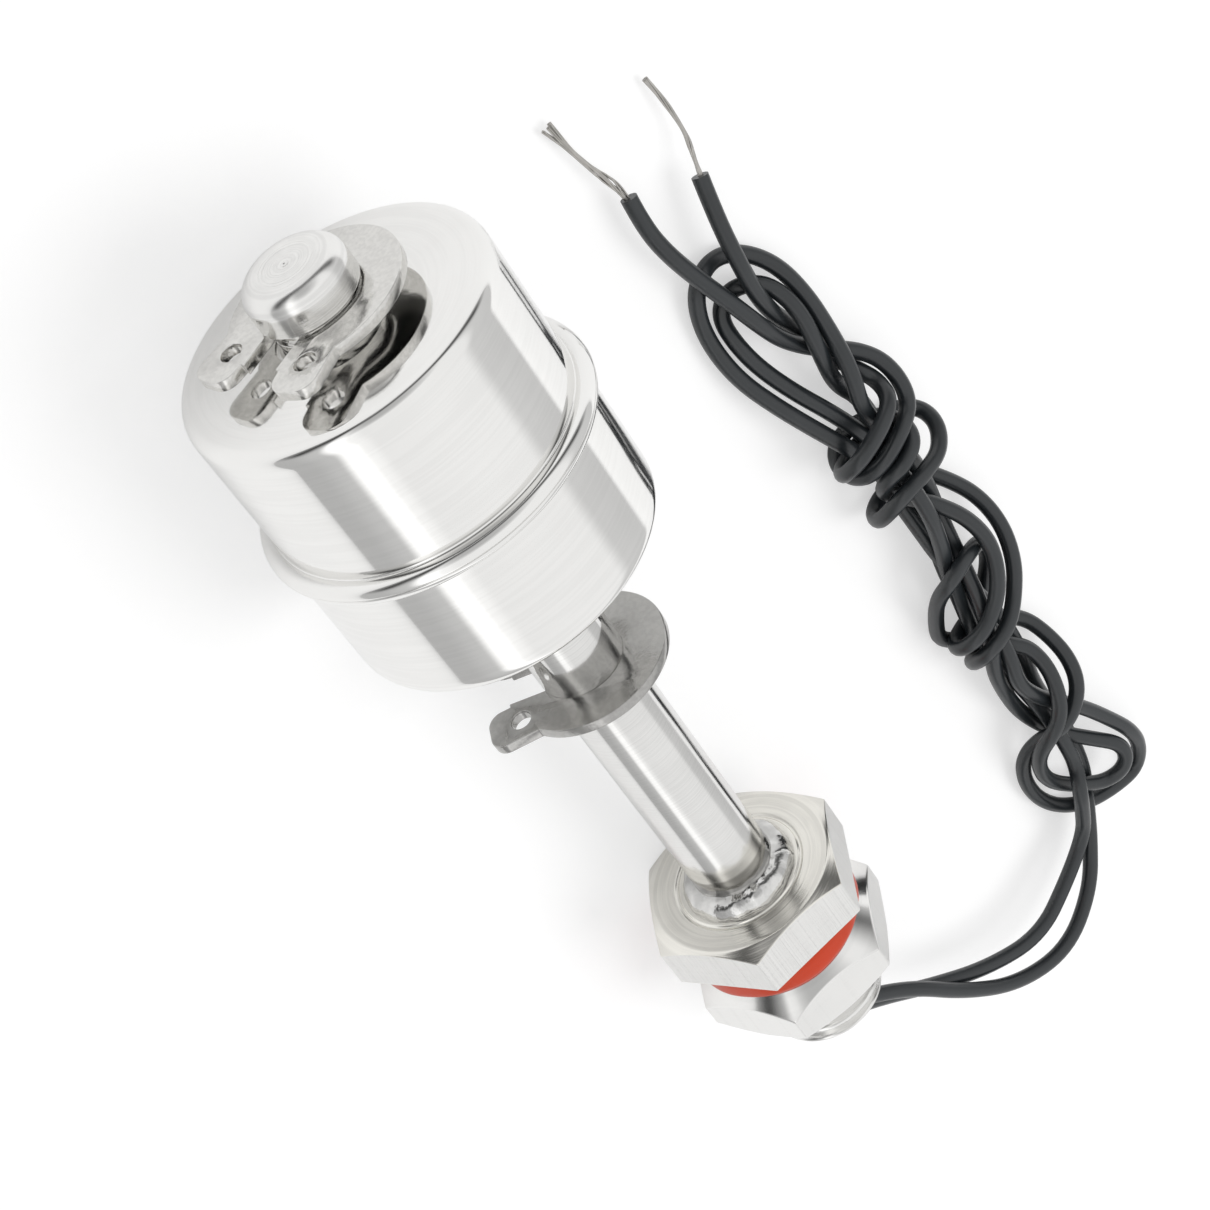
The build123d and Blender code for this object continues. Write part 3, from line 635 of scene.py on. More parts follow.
def metal(name, colour, low, high, marks="lathe_marks", relief=0.00001, strength=0.3, settings=None,
          shade=0.93, clouds=0.12, tint=None, lines=0.06):
    """Bare metal: its roughness runs between low and high in clouds and its colour darkens by
    shade in them. The marks stand as a fine relief and darken the colour by lines."""
    material, n, shader = new_material(name)
    shader.inputs["Metallic"].default_value = 1.0
    cloud = group_node(n, "grain", {"Clouds per mm": clouds}).outputs["Clouds"]
    height = group_node(n, marks, settings).outputs["Height"]
    level = group_node(n, "mask_range", {"Mask": height, "Low": 1.0 - lines, "High": 1.0,
                                         "Contrast": 4.0})
    surface = n.add("ShaderNodeVectorMath", {0: tinted(n, cloud, colour, shade),
                                             "Scale": level.outputs[0]}, operation="SCALE")
    surface = surface.outputs[0]
    n.link(tint(n, surface) if tint else surface, shader.inputs["Base Color"])
    rough = group_node(n, "mask_range", {"Mask": cloud, "Low": low, "High": high, "Contrast": 3.0})
    n.link(rough.outputs[0], shader.inputs["Roughness"])
    raise_marks(n, shader, height, strength, relief)
    return material


def plain_stuff(name, colour, rough, grains=6.0, relief=0.00002, strength=0.3, shade=0.85,
                **sockets):
    """Plastic, rubber, resin or dull metal with a fine grain and faint clouds of colour."""
    material, n, shader = new_material(name)
    grain = group_node(n, "grain", {"Grains per mm": grains})
    clouds = grain.outputs["Clouds"]
    n.link(tinted(n, clouds, colour, shade), shader.inputs["Base Color"])
    level = group_node(n, "mask_range", {"Mask": clouds, "Low": rough * 0.9, "High": rough * 1.1})
    n.link(level.outputs[0], shader.inputs["Roughness"])
    raise_marks(n, shader, grain.outputs["Height"], strength, relief)
    for socket, value in sockets.items():
        shader.inputs[socket.replace("_", " ")].default_value = value
    return material


def use(obj, *materials):
    """Puts these materials on an object, in place of what it had."""
    obj.data.materials.clear()
    for material in materials:
        obj.data.materials.append(material)


def finish_piece(obj, body, slot, materials, *nodes):
    """Gives a finished piece its body and its materials, and hides the solids it stands for. The slot
    is not used.
    """
    use(obj, *materials)
    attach(obj, body)
    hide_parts(*nodes)


def bevelled_copy(node, name, width):
    """A merged copy of a solid's mesh with rounded edges, in place of the solid."""
    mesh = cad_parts[node].data.copy()
    mesh.name = name
    work = bmesh.new()
    work.from_mesh(mesh)
    bmesh.ops.remove_doubles(work, verts=work.verts, dist=1e-6)
    bmesh.ops.dissolve_limit(work, angle_limit=radians(1), verts=work.verts, edges=work.edges)
    bmesh.ops.recalc_face_normals(work, faces=work.faces)
    work.to_mesh(mesh)
    work.free()
    mesh.shade_smooth()
    obj = bpy.data.objects.new(name, mesh)
    bpy.context.scene.collection.objects.link(obj)
    bevel = obj.modifiers.new("rounded edges", "BEVEL")
    bevel.width = width
    bevel.segments = 3
    bevel.limit_method = "ANGLE"
    bevel.angle_limit = radians(40)
    bevel.harden_normals = True
    return obj


# Operators


class LEVELSWITCH_OT_stage(bpy.types.Operator):
    """Makes the camera, the pale table, the lamp and the surroundings"""

    bl_idname = "levelswitch.stage"
    bl_label = "Stage"

    def execute(self, context):
        scene = context.scene
        scene.view_settings.view_transform = "Standard"

        eye = bpy.data.cameras.new("camera")
        eye.lens, eye.sensor_width = 82.716, 36.0
        eye.clip_start, eye.clip_end = 0.01, 20.0
        camera = bpy.data.objects.new("camera", eye)
        right = (-0.494661, -0.723486, 0.481538)
        above = (0.656598, -0.674106, -0.338319)
        behind = (0.569377, 0.148823, 0.808493)
        turn = Matrix((right, above, behind)).transposed().to_4x4()
        camera.matrix_world = Matrix.Translation((0.139414, 0.030590, 0.203913)) @ turn
        scene.collection.objects.link(camera)
        scene.camera = camera

        half = 3.0
        mesh = bpy.data.meshes.new("table")
        mesh.from_pydata([(-half, -half, 0), (half, -half, 0), (half, half, 0), (-half, half, 0)],
                         [], [(0, 1, 2, 3)])
        table = bpy.data.objects.new("table", mesh)
        scene.collection.objects.link(table)
        use(table, self.table_material())

        lamp = bpy.data.lights.new("key", "AREA")
        lamp.shape = "DISK"
        lamp.size = 0.55
        lamp.energy = 2.6
        key = bpy.data.objects.new("key", lamp)
        key.matrix_world = self.aimed((-0.26, -0.34, 0.80), (-0.01, -0.015, 0.0))
        key.visible_glossy = False
        scene.collection.objects.link(key)
        self.surroundings(scene)
        return {"FINISHED"}

    @staticmethod
    def aimed(place_from, place_to):
        """Matrix of a lamp at one point that looks at another."""
        start, end = np.array(place_from), np.array(place_to)
        back = (start - end) / np.linalg.norm(start - end)
        right = np.cross((0, 0, 1), back)
        right /= np.linalg.norm(right)
        up = np.cross(back, right)
        turn = Matrix((right.tolist(), up.tolist(), back.tolist())).transposed().to_4x4()
        return Matrix.Translation(place_from) @ turn

    @staticmethod
    def table_material():
        """Matt pale sheet, a touch brighter for the camera and for what reflects it."""
        material, n, shader = new_material("table_sheet")
        shader.inputs["Roughness"].default_value = 1.0
        shader.inputs["Specular IOR Level"].default_value = 0.0
        path = n.add("ShaderNodeLightPath")
        seen = n.math("MAXIMUM", path.outputs["Is Camera Ray"], path.outputs["Is Transmission Ray"])
        pale = finishes().table
        sheet = blend(n, seen, pale, [c * TABLE_SEEN for c in pale])
        n.link(sheet, shader.inputs["Base Color"])
        level = n.math("ADD", n.math("MULTIPLY", seen, TABLE_GLOW),
                       n.math("MULTIPLY", path.outputs["Is Glossy Ray"], TABLE_MIRROR_GLOW))
        glow = n.add("ShaderNodeEmission", {"Color": (1, 1, 1, 1), "Strength": level})
        both = n.add("ShaderNodeAddShader", {0: shader.outputs[0], 1: glow.outputs[0]})
        n.link(both.outputs[0], n.tree.nodes["Material Output"].inputs["Surface"])
        return material

    @staticmethod
    def surroundings(scene):
        """White to the camera, a plain level to matt surfaces; to metal, soft bands round X, with a
        dim patch by the camera and a dark horizon past the tip."""
        world = bpy.data.worlds.new("studio")
        scene.world = world
        world.use_nodes = True
        tree = world.node_tree
        tree.nodes.clear()
        n = Nodes(tree)
        where = n.add("ShaderNodeTexCoord").outputs["Generated"]
        x, y, z = n.add("ShaderNodeSeparateXYZ", {"Vector": where}).outputs[:3]
        turn = n.math("DIVIDE", n.math("ARCTAN2", y, z), 2 * pi)
        ramp = n.add("ShaderNodeValToRGB", {"Fac": n.math("ADD", turn, 0.5)})
        ramp.color_ramp.interpolation = "EASE"
        stops = ramp.color_ramp.elements
        for index, (degrees, level) in enumerate(SURROUND):
            stop = stops[index] if index < 2 else stops.new(1.0)
            stop.position = degrees / 360 + 0.5
        for stop, (degrees, level) in zip(stops, SURROUND):
            stop.position = degrees / 360 + 0.5
            stop.color = (*[level / BRIGHTEST] * 3, 1)
        facing = n.add("ShaderNodeVectorMath", {0: where, 1: DIM_WAY}, operation="DOT_PRODUCT")
        facing = facing.outputs["Value"]
        spot = n.math("MULTIPLY", n.math("SUBTRACT", facing, 0.84), 7.0, clamp=True)
        height = n.math("ABSOLUTE", n.math("SUBTRACT", z, 0.17))
        low = n.math("SUBTRACT", 1.15, n.math("MULTIPLY", height, 5.0), clamp=True)
        east = n.math("MULTIPLY", n.math("SUBTRACT", x, 0.30), 3.5, clamp=True)
        dark = n.math("MULTIPLY", n.math("MULTIPLY", low, east), HORIZON_DEPTH)
        horizon = n.math("SUBTRACT", 1.0, dark)
        open_way = n.math("SUBTRACT", 1.0, n.math("MULTIPLY", spot, DIM_DEPTH))
        open_way = n.math("MULTIPLY", open_way, horizon)
        bands = n.math("MULTIPLY", n.math("MULTIPLY", ramp.outputs[0], BRIGHTEST), open_way)
        path = n.add("ShaderNodeLightPath")
        camera, glossy = path.outputs["Is Camera Ray"], path.outputs["Is Glossy Ray"]
        through = path.outputs["Is Transmission Ray"]
        white = n.math("MAXIMUM", camera, through)
        matt = n.add("ShaderNodeMix", {"Factor": glossy, "A": MATT_LEVEL, "B": bands},
                     data_type="FLOAT")
        level = n.add("ShaderNodeMix", {"Factor": white, "A": matt.outputs[0], "B": 1.0},
                      data_type="FLOAT")
        light = n.add("ShaderNodeBackground", {"Color": (1, 1, 1, 1), "Strength": level.outputs[0]})
        end = n.add("ShaderNodeOutputWorld")
        n.link(light.outputs[0], end.inputs["Surface"])


class LEVELSWITCH_OT_stem(bpy.types.Operator):
    """Makes the stem tube with its ring grooves, the turned tip and the weld at the flange"""

    bl_idname = "levelswitch.stem"
    bl_label = "Stem"

    def execute(self, context):
        fine = sizes().edge_round / MM * 0.5
        tube = [corner(STEM_R, STEM_FOOT)]
        for low in (LOWER_RING, UPPER_RING):
            tube += [corner(STEM_R, low), corner(SEAT_R, low)]
            tube += [corner(SEAT_R, low + RING_T), corner(STEM_R, low + RING_T)]
        tube += [corner(STEM_R, TIP_SEAM), corner(STEM_BORE_R, TIP_SEAM)]
        tube += [corner(STEM_BORE_R, STEM_FOOT)]
        stem = turned("stem_surface", rounded(tube, [fine] * len(tube)))
        # The stem's steel is darkened to 0.92 of the float's steel: painted shade that dims its
        # reflection of the bright band.
        polished = metal("polished_stem", [c * 0.92 for c in finishes().steel], 0.08, 0.13,
                         relief=0.000004, strength=0.18, tint=self.heat_zone,
                         settings={"Marks per mm": 7.0, "Unevenness": 0.4})
        finish_piece(stem, "stem", "polished_steel", [polished], "stem_tube")

        self.cap(fine)
        self.weld()
        return {"FINISHED"}

    @staticmethod
    def heat_zone(n, colour):
        """Darkens the colour in the zone next to the weld, between two stations."""
        station = n.math("MULTIPLY", stem_coordinates(n)[0], 1000.0)
        low = n.math("MULTIPLY", n.math("SUBTRACT", station, HEAT_LOW), HEAT_SLOPE, clamp=True)
        high = n.math("MULTIPLY", n.math("SUBTRACT", HEAT_HIGH, station), HEAT_SLOPE, clamp=True)
        level = n.math("MULTIPLY", n.math("MULTIPLY", low, high), HEAT_DEPTH)
        return blend(n, level, colour, (0.10, 0.095, 0.085))

    @staticmethod
    def cap(fine):
        """Turned cap: a skirt down to the ring, a quarter circle at the edge, and an end face with
        three shallow turned rings and a centre mark, each a dip by exp(-(distance/width)^2)."""
        t = np.linspace(0, pi / 2, 20)
        edge_r = TIP_R - TIP_ROUND + TIP_ROUND * np.cos(t)
        edge_s = TIP_END - TIP_ROUND + TIP_ROUND * np.sin(t)
        face_r = np.linspace(TIP_R - TIP_ROUND - 0.02, 0, 90)
        dip = 0.045 * np.exp(-((face_r[:, None] - np.array(TIP_RINGS)) / 0.075) ** 2)
        centre_mark = 0.18 * np.exp(-((face_r / 0.28) ** 2))
        face_s = TIP_END - dip.sum(1) - centre_mark
        low = rounded(
            [
                corner(0, TIP_SPIGOT),
                corner(STEM_BORE_R, TIP_SPIGOT),
                corner(STEM_BORE_R, TIP_SEAM + 0.01),
                corner(STEM_R + 0.01, TIP_SEAM + 0.01),
                corner(STEM_R + 0.01, TIP_LOW),
                corner(TIP_R, TIP_LOW),
                corner(TIP_R, TIP_END - TIP_ROUND - 0.2),
            ],
            [0, fine, 0, 0, 0, 0.15, 0],
            closed=False,
        )
        rest = np.stack([np.concatenate([edge_r, face_r]), np.concatenate([edge_s, face_s])], -1)
        cap = turned("tip_surface", np.concatenate([low, rest]))
        turned_tip = metal("turned_tip", finishes().steel, 0.15, 0.22, relief=0.00002, strength=0.4,
                           lines=0.10, settings={"Marks per mm": 4.6, "Unevenness": 0.5})
        finish_piece(cap, "stem", "turned_steel", [turned_tip], "end_cap")

    @staticmethod
    def weld():
        """Bead of the weld: a quarter round between stem and flange whose size ripples round
        the turn, as small waves of the angle."""
        angles = np.linspace(0, 2 * pi, WELD_STEPS, endpoint=False)
        ripple = sizes().weld_ripple / MM
        wave = ripple * (0.6 * np.sin(13 * angles) + np.sin(7 * angles + 1.3))
        swell = WELD_REACH + wave + 0.06 * np.sin(2 * angles + 0.6)
        t = np.linspace(0, 1, 30)[:, None]
        bow = np.sin(t * pi) * WELD_BOW
        radius = STEM_R + swell * (1 - t) + bow * 0.75
        station = FLANGE_T + swell * t + bow * 0.75
        skin = np.stack([radius, station], -1)
        inner = corner([STEM_R - 0.01], [FLANGE_T - 0.01])[:, None]
        inner = np.broadcast_to(inner, (1, WELD_STEPS, 2))
        path = np.concatenate([skin, inner])
        bead = turned("weld_surface", path, angles)
        shiny = metal("weld_metal", [c * 0.86 for c in finishes().steel], 0.06, 0.12, marks="grain",
                      relief=0.00025, strength=0.5, lines=0.25, settings={"Grains per mm": 0.6})
        finish_piece(bead, "stem", "polished_steel", [shiny], "weld_bead")


class LEVELSWITCH_OT_float(bpy.types.Operator):
    """Makes the two drawn half shells of the float with their rolled seam"""

    bl_idname = "levelswitch.float"
    bl_label = "Float"

    @staticmethod
    def shell(name, radius, face, inward):
        """One half shell as a closed profile: end face with a slight crown, drawn edge, wall,
        half of the rolled seam as an arc of a circle, and the same inside at the sheet's
        thickness. Two points close to the seam keep the wall's own shading."""
        drawn = sizes().drawn_round / MM
        shoulder = face - inward * CROWN
        rise = sqrt(BEAD_R**2 - (LOWER_R - radius) ** 2)
        base = SEAM + inward * rise
        turn = atan2(rise, radius - LOWER_R)
        t = np.linspace(turn, 0, 22)
        bead = np.stack([LOWER_R + BEAD_R * np.cos(t), SEAM + inward * BEAD_R * np.sin(t)], -1)
        bead[-1] += (-0.05, inward * SEAM_GAP)
        inner = radius - SHELL_T
        outside = rounded(
            [
                corner(SLEEVE_R, face),
                corner(SLEEVE_R + 0.9, face),
                corner(radius, shoulder),
                corner(radius, base + inward * 0.25),
                corner(radius, base + inward * 0.05),
            ],
            [0, 0.5, drawn, 0, 0],
            closed=False,
            steps=13,
        )
        inside = rounded(
            [
                corner(inner, SEAM + inward * SEAM_GAP),
                corner(inner, shoulder - inward * SHELL_T),
                corner(SLEEVE_R, face - inward * SHELL_T),
            ],
            [0, drawn - SHELL_T, 0],
            closed=False,
        )
        path = np.concatenate([outside, bead[1:], inside])
        return turned(name, path, np.linspace(0, 2 * pi, 256, endpoint=False))

    def execute(self, context):
        gloss = finishes().mirror_gloss
        mirror = metal("mirror_float", finishes().steel, gloss * 0.7, gloss * 1.4,
                       relief=0.000003, strength=0.16, shade=0.97, lines=0.03,
                       settings={"Marks per mm": 2.2, "Unevenness": 1.2})
        upper = self.shell("float_upper", UPPER_R, FLOAT_TOP, 1)
        finish_piece(upper, "float", "mirror_steel", [mirror], "float_shell_upper")
        lower = self.shell("float_lower", LOWER_R, FLOAT_LOW, -1)
        finish_piece(lower, "float", "mirror_steel", [mirror], "float_shell_lower")
        return {"FINISHED"}


class LEVELSWITCH_OT_rings(bpy.types.Operator):
    """Rounds the edges of the two retaining rings"""

    bl_idname = "levelswitch.rings"
    bl_label = "Retaining rings"

    def execute(self, context):
        # The lower ring's colour is 0.58 of the turned steel's, against 0.94 for the upper ring:
        # painted shade that stands in for the dark reflections on its faces.
        rings = (("upper_ring", "ring_above", 0.94), ("lower_ring", "ring_below", 0.58))
        for node, name, level in rings:
            spring = metal(f"spring_steel_{name}", [c * level for c in finishes().satin], 0.12, 0.20,
                           marks="grain", relief=0.00003, strength=0.35, clouds=0.2, shade=0.9,
                           lines=0.10, settings={"Grains per mm": 2.5})
            ring = bevelled_copy(node, name, sizes().ring_round)
            finish_piece(ring, "stem", "spring_steel", [spring], node)
        return {"FINISHED"}


class LEVELSWITCH_OT_fitting(bpy.types.Operator):
    """Makes the hexagon flange with its threaded shank, as one turned piece"""

    bl_idname = "levelswitch.fitting"
    bl_label = "Flange and thread"

    def execute(self, context):
        fine = sizes().edge_round / MM
        angles, hex_r = hexagon()
        cone_r = FLAT_R - FLANGE_CONE_IN
        slope = FLANGE_CONE_DROP / (CORNER_R - cone_r)
        top = FLANGE_T
        ring = LATHE_RING_R
        flange = rounded(
            [
                corner(STEM_R, top),
                corner(ring - 0.25, top),
                corner(ring - 0.12, top - 0.15),
                corner(ring + 0.05, top - 0.15),
                corner(ring + 0.25, top - 0.02),
                corner(cone_r, top - 0.02),
                corner(hex_r, top - slope * (hex_r - cone_r)),
                corner(hex_r, 0),
                corner(UNDERCUT_R + 0.1, 0),
                corner(UNDERCUT_R, THREAD_START + 0.05),
            ],
            [0, 0.06, 0.06, 0.05, 0.1, 0.25, fine, fine, 0.1, 0],
            closed=False,
            steps=5,
        )
        thread = self.thread(angles)
        tail = rounded(
            [
                corner(THREAD_R - SHANK_CHAMFER - 0.25, -SHANK_L),
                corner(LEAD_BORE_R, -SHANK_L),
                corner(LEAD_BORE_R, STEM_FOOT),
                corner(STEM_R, STEM_FOOT),
                corner(STEM_R, top),
            ],
            [0, 0.2, 0, 0, 0],
            closed=False,
            steps=4,
        )
        both = [np.broadcast_to(p if p.ndim == 3 else p[:, None], (len(p), len(angles), 2))
                for p in (flange, thread, tail)]
        fitting = turned("flange_and_thread", np.concatenate(both), angles)
        warm = [c * v for c, v in zip(finishes().steel, (1.0, 0.985, 0.94))]
        faces = metal("turned_flange", warm, 0.13, 0.20, relief=0.00004, strength=0.5, lines=0.12,
                      settings={"Marks per mm": 2.4, "Unevenness": 0.9})
        sides = metal("milled_side", finishes().steel, 0.34, 0.44, marks="cut_lines",
                      relief=0.0001, strength=0.8, lines=0.16, settings={"Lines per mm": 3.8})
        cut = metal("cut_thread", finishes().steel, 0.10, 0.18, relief=0.00001, strength=0.15,
                    settings={"Marks per mm": 2.0})
        finish_piece(fitting, "stem", "turned_steel", [faces, sides, cut], "hex_fitting")
        paint_hexagon(fitting.data, 0.0, FLANGE_T, FLAT_R)
        return {"FINISHED"}

    @staticmethod
    def thread(angles):
        """Helical thread as a height over the angle and the station.

        The phase is station / pitch - angle / turn. From the middle of a crest the flank drops
        by 1.73 of the way along, down to the depth, and the crest and root are softened by a
        smooth step. A cone at each end limits the radius.
        """
        pitch, depth = sizes().thread_pitch / MM, sizes().thread_depth / MM
        station = np.linspace(THREAD_START, -SHANK_L, THREAD_ROWS)[:, None]
        phase = station / pitch - angles / (2 * pi)
        off = np.abs(phase - np.round(phase)) * pitch
        fall = np.clip((off - pitch / 14) * 1.732, 0, depth) / depth
        fall = fall * fall * (3 - 2 * fall) * 0.45 + fall * 0.55
        radius = THREAD_R - 0.01 - depth * fall
        cone = THREAD_R - SHANK_CHAMFER - 0.25 + 1.1 * (station + SHANK_L)
        run_in = UNDERCUT_R + 1.2 * (THREAD_START - station)
        radius = np.minimum(radius, np.minimum(cone, run_in))
        return np.stack([radius, np.broadcast_to(station, radius.shape)], -1)


def paint_hexagon(mesh, low, high, flat, sides=1, threads=2):
    """Gives the flats of a hexagon their own material by the direction of each face, and the
    faces below the hexagon the thread's."""
    count = len(mesh.polygons)
    normal = np.zeros(count * 3)
    centre = np.zeros(count * 3)
    mesh.polygons.foreach_get("normal", normal)
    mesh.polygons.foreach_get("center", centre)
    normal, centre = normal.reshape(-1, 3), centre.reshape(-1, 3) / MM - FOOT
    lean = np.abs(normal @ ALONG)
    station = centre @ ALONG
    radius = np.linalg.norm(centre - station[:, None] * ALONG, axis=1)
    index = np.zeros(count, dtype=np.int32)
    index[(lean < 0.12) & (radius > flat - 0.05) & (station > low) & (station < high)] = sides
    if threads is not None:
        index[(station < low - 0.02) & (radius > LEAD_BORE_R + 0.3)] = threads
    mesh.polygons.foreach_set("material_index", index)


class LEVELSWITCH_OT_gasket(bpy.types.Operator):
    """Makes the silicone gasket between flange and nut"""

    bl_idname = "levelswitch.gasket"
    bl_label = "Gasket"

    def execute(self, context):
        angles = np.linspace(0, 2 * pi, 200, endpoint=False)
        wobble = 0.03 * np.sin(5 * angles + 0.4) + 0.02 * np.sin(11 * angles)
        outer = GASKET_R - 0.04 + wobble
        path = rounded(
            [
                corner(THREAD_R + 0.02, -0.01),
                corner(outer, -0.01),
                corner(outer, 0.01 - GASKET_T),
                corner(THREAD_R + 0.02, 0.01 - GASKET_T),
            ],
            [0.15, 1.3, 1.3, 0.15],
            steps=12,
        )
        ring = turned("silicone_ring", path, angles)
        rubber = plain_stuff("silicone", finishes().silicone, 0.36, grains=3.0, relief=0.00004,
                             strength=0.25, shade=0.86, Specular_IOR_Level=0.30)
        finish_piece(ring, "stem", "silicone", [rubber], "gasket")
        return {"FINISHED"}


class LEVELSWITCH_OT_nut(bpy.types.Operator):
    """Makes the thin lock nut with its coned face"""

    bl_idname = "levelswitch.nut"
    bl_label = "Lock nut"

    def execute(self, context):
        fine = sizes().edge_round / MM
        angles, hex_r = hexagon(flat=NUT_FLAT_R, turn=NUT_TURN)
        cone_r = NUT_FLAT_R - NUT_CONE_IN
        corner_r = NUT_FLAT_R / cos(pi / 6)
        slope = NUT_CONE_DROP / (corner_r - cone_r)
        back = NUT_BACK_DROP / (corner_r - NUT_FLAT_R)
        path = rounded(
            [
                corner(NUT_BORE_R, NUT_LOW + 0.55),
                corner(NUT_BORE_R + 0.5, NUT_LOW),
                corner(NUT_FLAT_R - 0.08, NUT_LOW),
                corner(hex_r, NUT_LOW + back * np.maximum(hex_r - NUT_FLAT_R, 0) + 0.05),
                corner(hex_r, NUT_TOP - slope * (hex_r - cone_r)),
                corner(cone_r, NUT_TOP),
                corner(NUT_BORE_R + 0.5, NUT_TOP),
                corner(NUT_BORE_R, NUT_TOP - 0.55),
            ],
            [0.08, 0.08, fine, fine, fine * 1.3, 0.3, 0.08, 0.08],
            steps=6,
        )
        nut = turned("nut_surface", path, angles)
        face = metal("coned_face", finishes().steel, 0.10, 0.18, relief=0.00001, strength=0.2,
                     settings={"Marks per mm": 3.0})
        sides = metal("nut_side", finishes().steel, 0.28, 0.40, marks="cut_lines",
                      relief=0.00003, strength=0.5, settings={"Lines per mm": 1.2})
        finish_piece(nut, "nut", "turned_steel", [face, sides], "lock_nut")
        paint_hexagon(nut.data, NUT_LOW, NUT_TOP, NUT_FLAT_R, threads=None)
        return {"FINISHED"}


def route(name, points):
    """A smooth line with these control points, in millimetres, as one open spline."""
    curve = bpy.data.curves.new(name, "CURVE")
    curve.dimensions = "3D"
    spline = curve.splines.new("NURBS")
    spline.points.add(len(points) - 1)
    for point, (x, y, z) in zip(spline.points, points):
        point.co = (x * MM, y * MM, z * MM, 1)
    spline.order_u = 3
    spline.use_endpoint_u = True
    curve.resolution_u = 8
    obj = bpy.data.objects.new(name, curve)
    bpy.context.scene.collection.objects.link(obj)
    return obj


def line_points(obj):
    """The points that a line without thickness passes through, in metres."""
    bpy.context.view_layer.update()
    mesh = bpy.data.meshes.new_from_object(obj)
    points = np.zeros(len(mesh.vertices) * 3)
    mesh.vertices.foreach_get("co", points)
    bpy.data.meshes.remove(mesh)
    return points.reshape(-1, 3)


class LEVELSWITCH_OT_leads(bpy.types.Operator):
    """Makes the two leads, their hank and their stripped ends"""

    bl_idname = "levelswitch.leads"
    bl_label = "Leads"

    def execute(self, context):
        thick = sizes().lead_thickness
        rubber = plain_stuff("lead_insulation", finishes().insulation, 0.31, grains=7.0,
                             relief=0.00002, strength=0.35, shade=0.72, Specular_IOR_Level=0.62)
        tin = metal("tinned_strand", finishes().tin, 0.28, 0.42, marks="grain", relief=0.00001,
                    strength=0.3, shade=0.7, clouds=1.2, settings={"Grains per mm": 14.0})
        leads = (
            ("a", -LEAD_SIDE, LEAD_A, BARE_A, ("lead_a", "tail_a", "lead_hank")),
            ("b", LEAD_SIDE, LEAD_B, BARE_B, ("lead_b", "tail_b", "lead_hank")),
        )
        for letter, side, points, bare, nodes in leads:
            start = [tuple(place(LEAD_ROOT, side)), tuple(place(LEAD_STRAIGHT, side))]
            lead = route(f"lead_line_{letter}", start + points)
            path = line_points(lead)
            lead.data.bevel_depth = thick / 2
            lead.data.bevel_resolution = 5
            lead.data.use_fill_caps = True
            finish_piece(lead, "stem", "lead_insulation", [rubber], *nodes)
            strands = self.strands(letter, bare)
            finish_piece(strands, "stem", "tinned_copper", [tin], f"bare_end_{letter}")
        return {"FINISHED"}

    @staticmethod
    def strands(letter, bare):
        """Bundle of strands round a line: each strand stands off it by a distance that swells
        in the middle and frays at the tip, at an angle that turns slowly along the way, and is
        a thin tube whose ring of points follows the line's own cross directions."""
        line = route(f"bare_line_{letter}", bare)
        line.data.resolution_u = 20
        centre = line_points(line) / MM
        bpy.data.objects.remove(line)
        count = sizes().strand_count
        thin = sizes().strand_thickness / MM / 2
        along = np.gradient(centre, axis=0)
        along /= np.linalg.norm(along, axis=1, keepdims=True)
        across = np.cross((0.0, 0.0, 1.0), along)
        across /= np.linalg.norm(across, axis=1, keepdims=True)
        over = np.cross(along, across)
        t = np.linspace(0, 1, len(centre))[:, None]
        k = np.arange(count)[None]
        middle = np.exp(-((t - 0.42) / 0.20) ** 2)
        tip = np.clip((t - 0.80) / 0.20, 0, 1) ** 1.5
        own = 0.5 + 0.5 * np.sin(2.4 * k + 0.7)
        if letter == "a":
            spread = 0.17 + 0.26 * middle * (0.4 + 0.6 * own) + 0.42 * tip * (0.3 + own)
            flat = 0.45
            turn = 2.399 * k + 3.4 * t + 0.25 * np.sin(7 * t + k)
        else:
            spread = 0.12 + 0.07 * np.sin(9 * t + 0.4) ** 2 + 0.10 * tip * (0.3 + own)
            flat = 0.7
            turn = 2.399 * k + 5.2 * t
        u, v = spread * np.cos(turn), spread * np.sin(turn) * flat
        strand = centre[:, None] + u[..., None] * across[:, None] + v[..., None] * over[:, None]
        strand[..., 2] = np.maximum(strand[..., 2], thin + OFF_TABLE)
        ring = np.linspace(0, 2 * pi, STRAND_SIDES, endpoint=False)
        skin = strand[:, :, None] + thin * (
            np.cos(ring)[None, None, :, None] * across[:, None, None]
            + np.sin(ring)[None, None, :, None] * over[:, None, None]
        )
        skin = np.transpose(skin, (1, 0, 2, 3))
        ends = strand.transpose(1, 0, 2)
        start = np.repeat(ends[:, :1, None], STRAND_SIDES, 2)
        stop = np.repeat(ends[:, -1:, None], STRAND_SIDES, 2)
        tubes = np.concatenate([start, skin, stop], axis=1)
        rows = len(centre) + 2
        faces = []
        for index in range(count):
            first = index * rows * STRAND_SIDES
            faces += grid_faces(rows, STRAND_SIDES, close_rows=False, start=first)
        return mesh_object(f"strands_{letter}", tubes, faces, merge=1e-8)


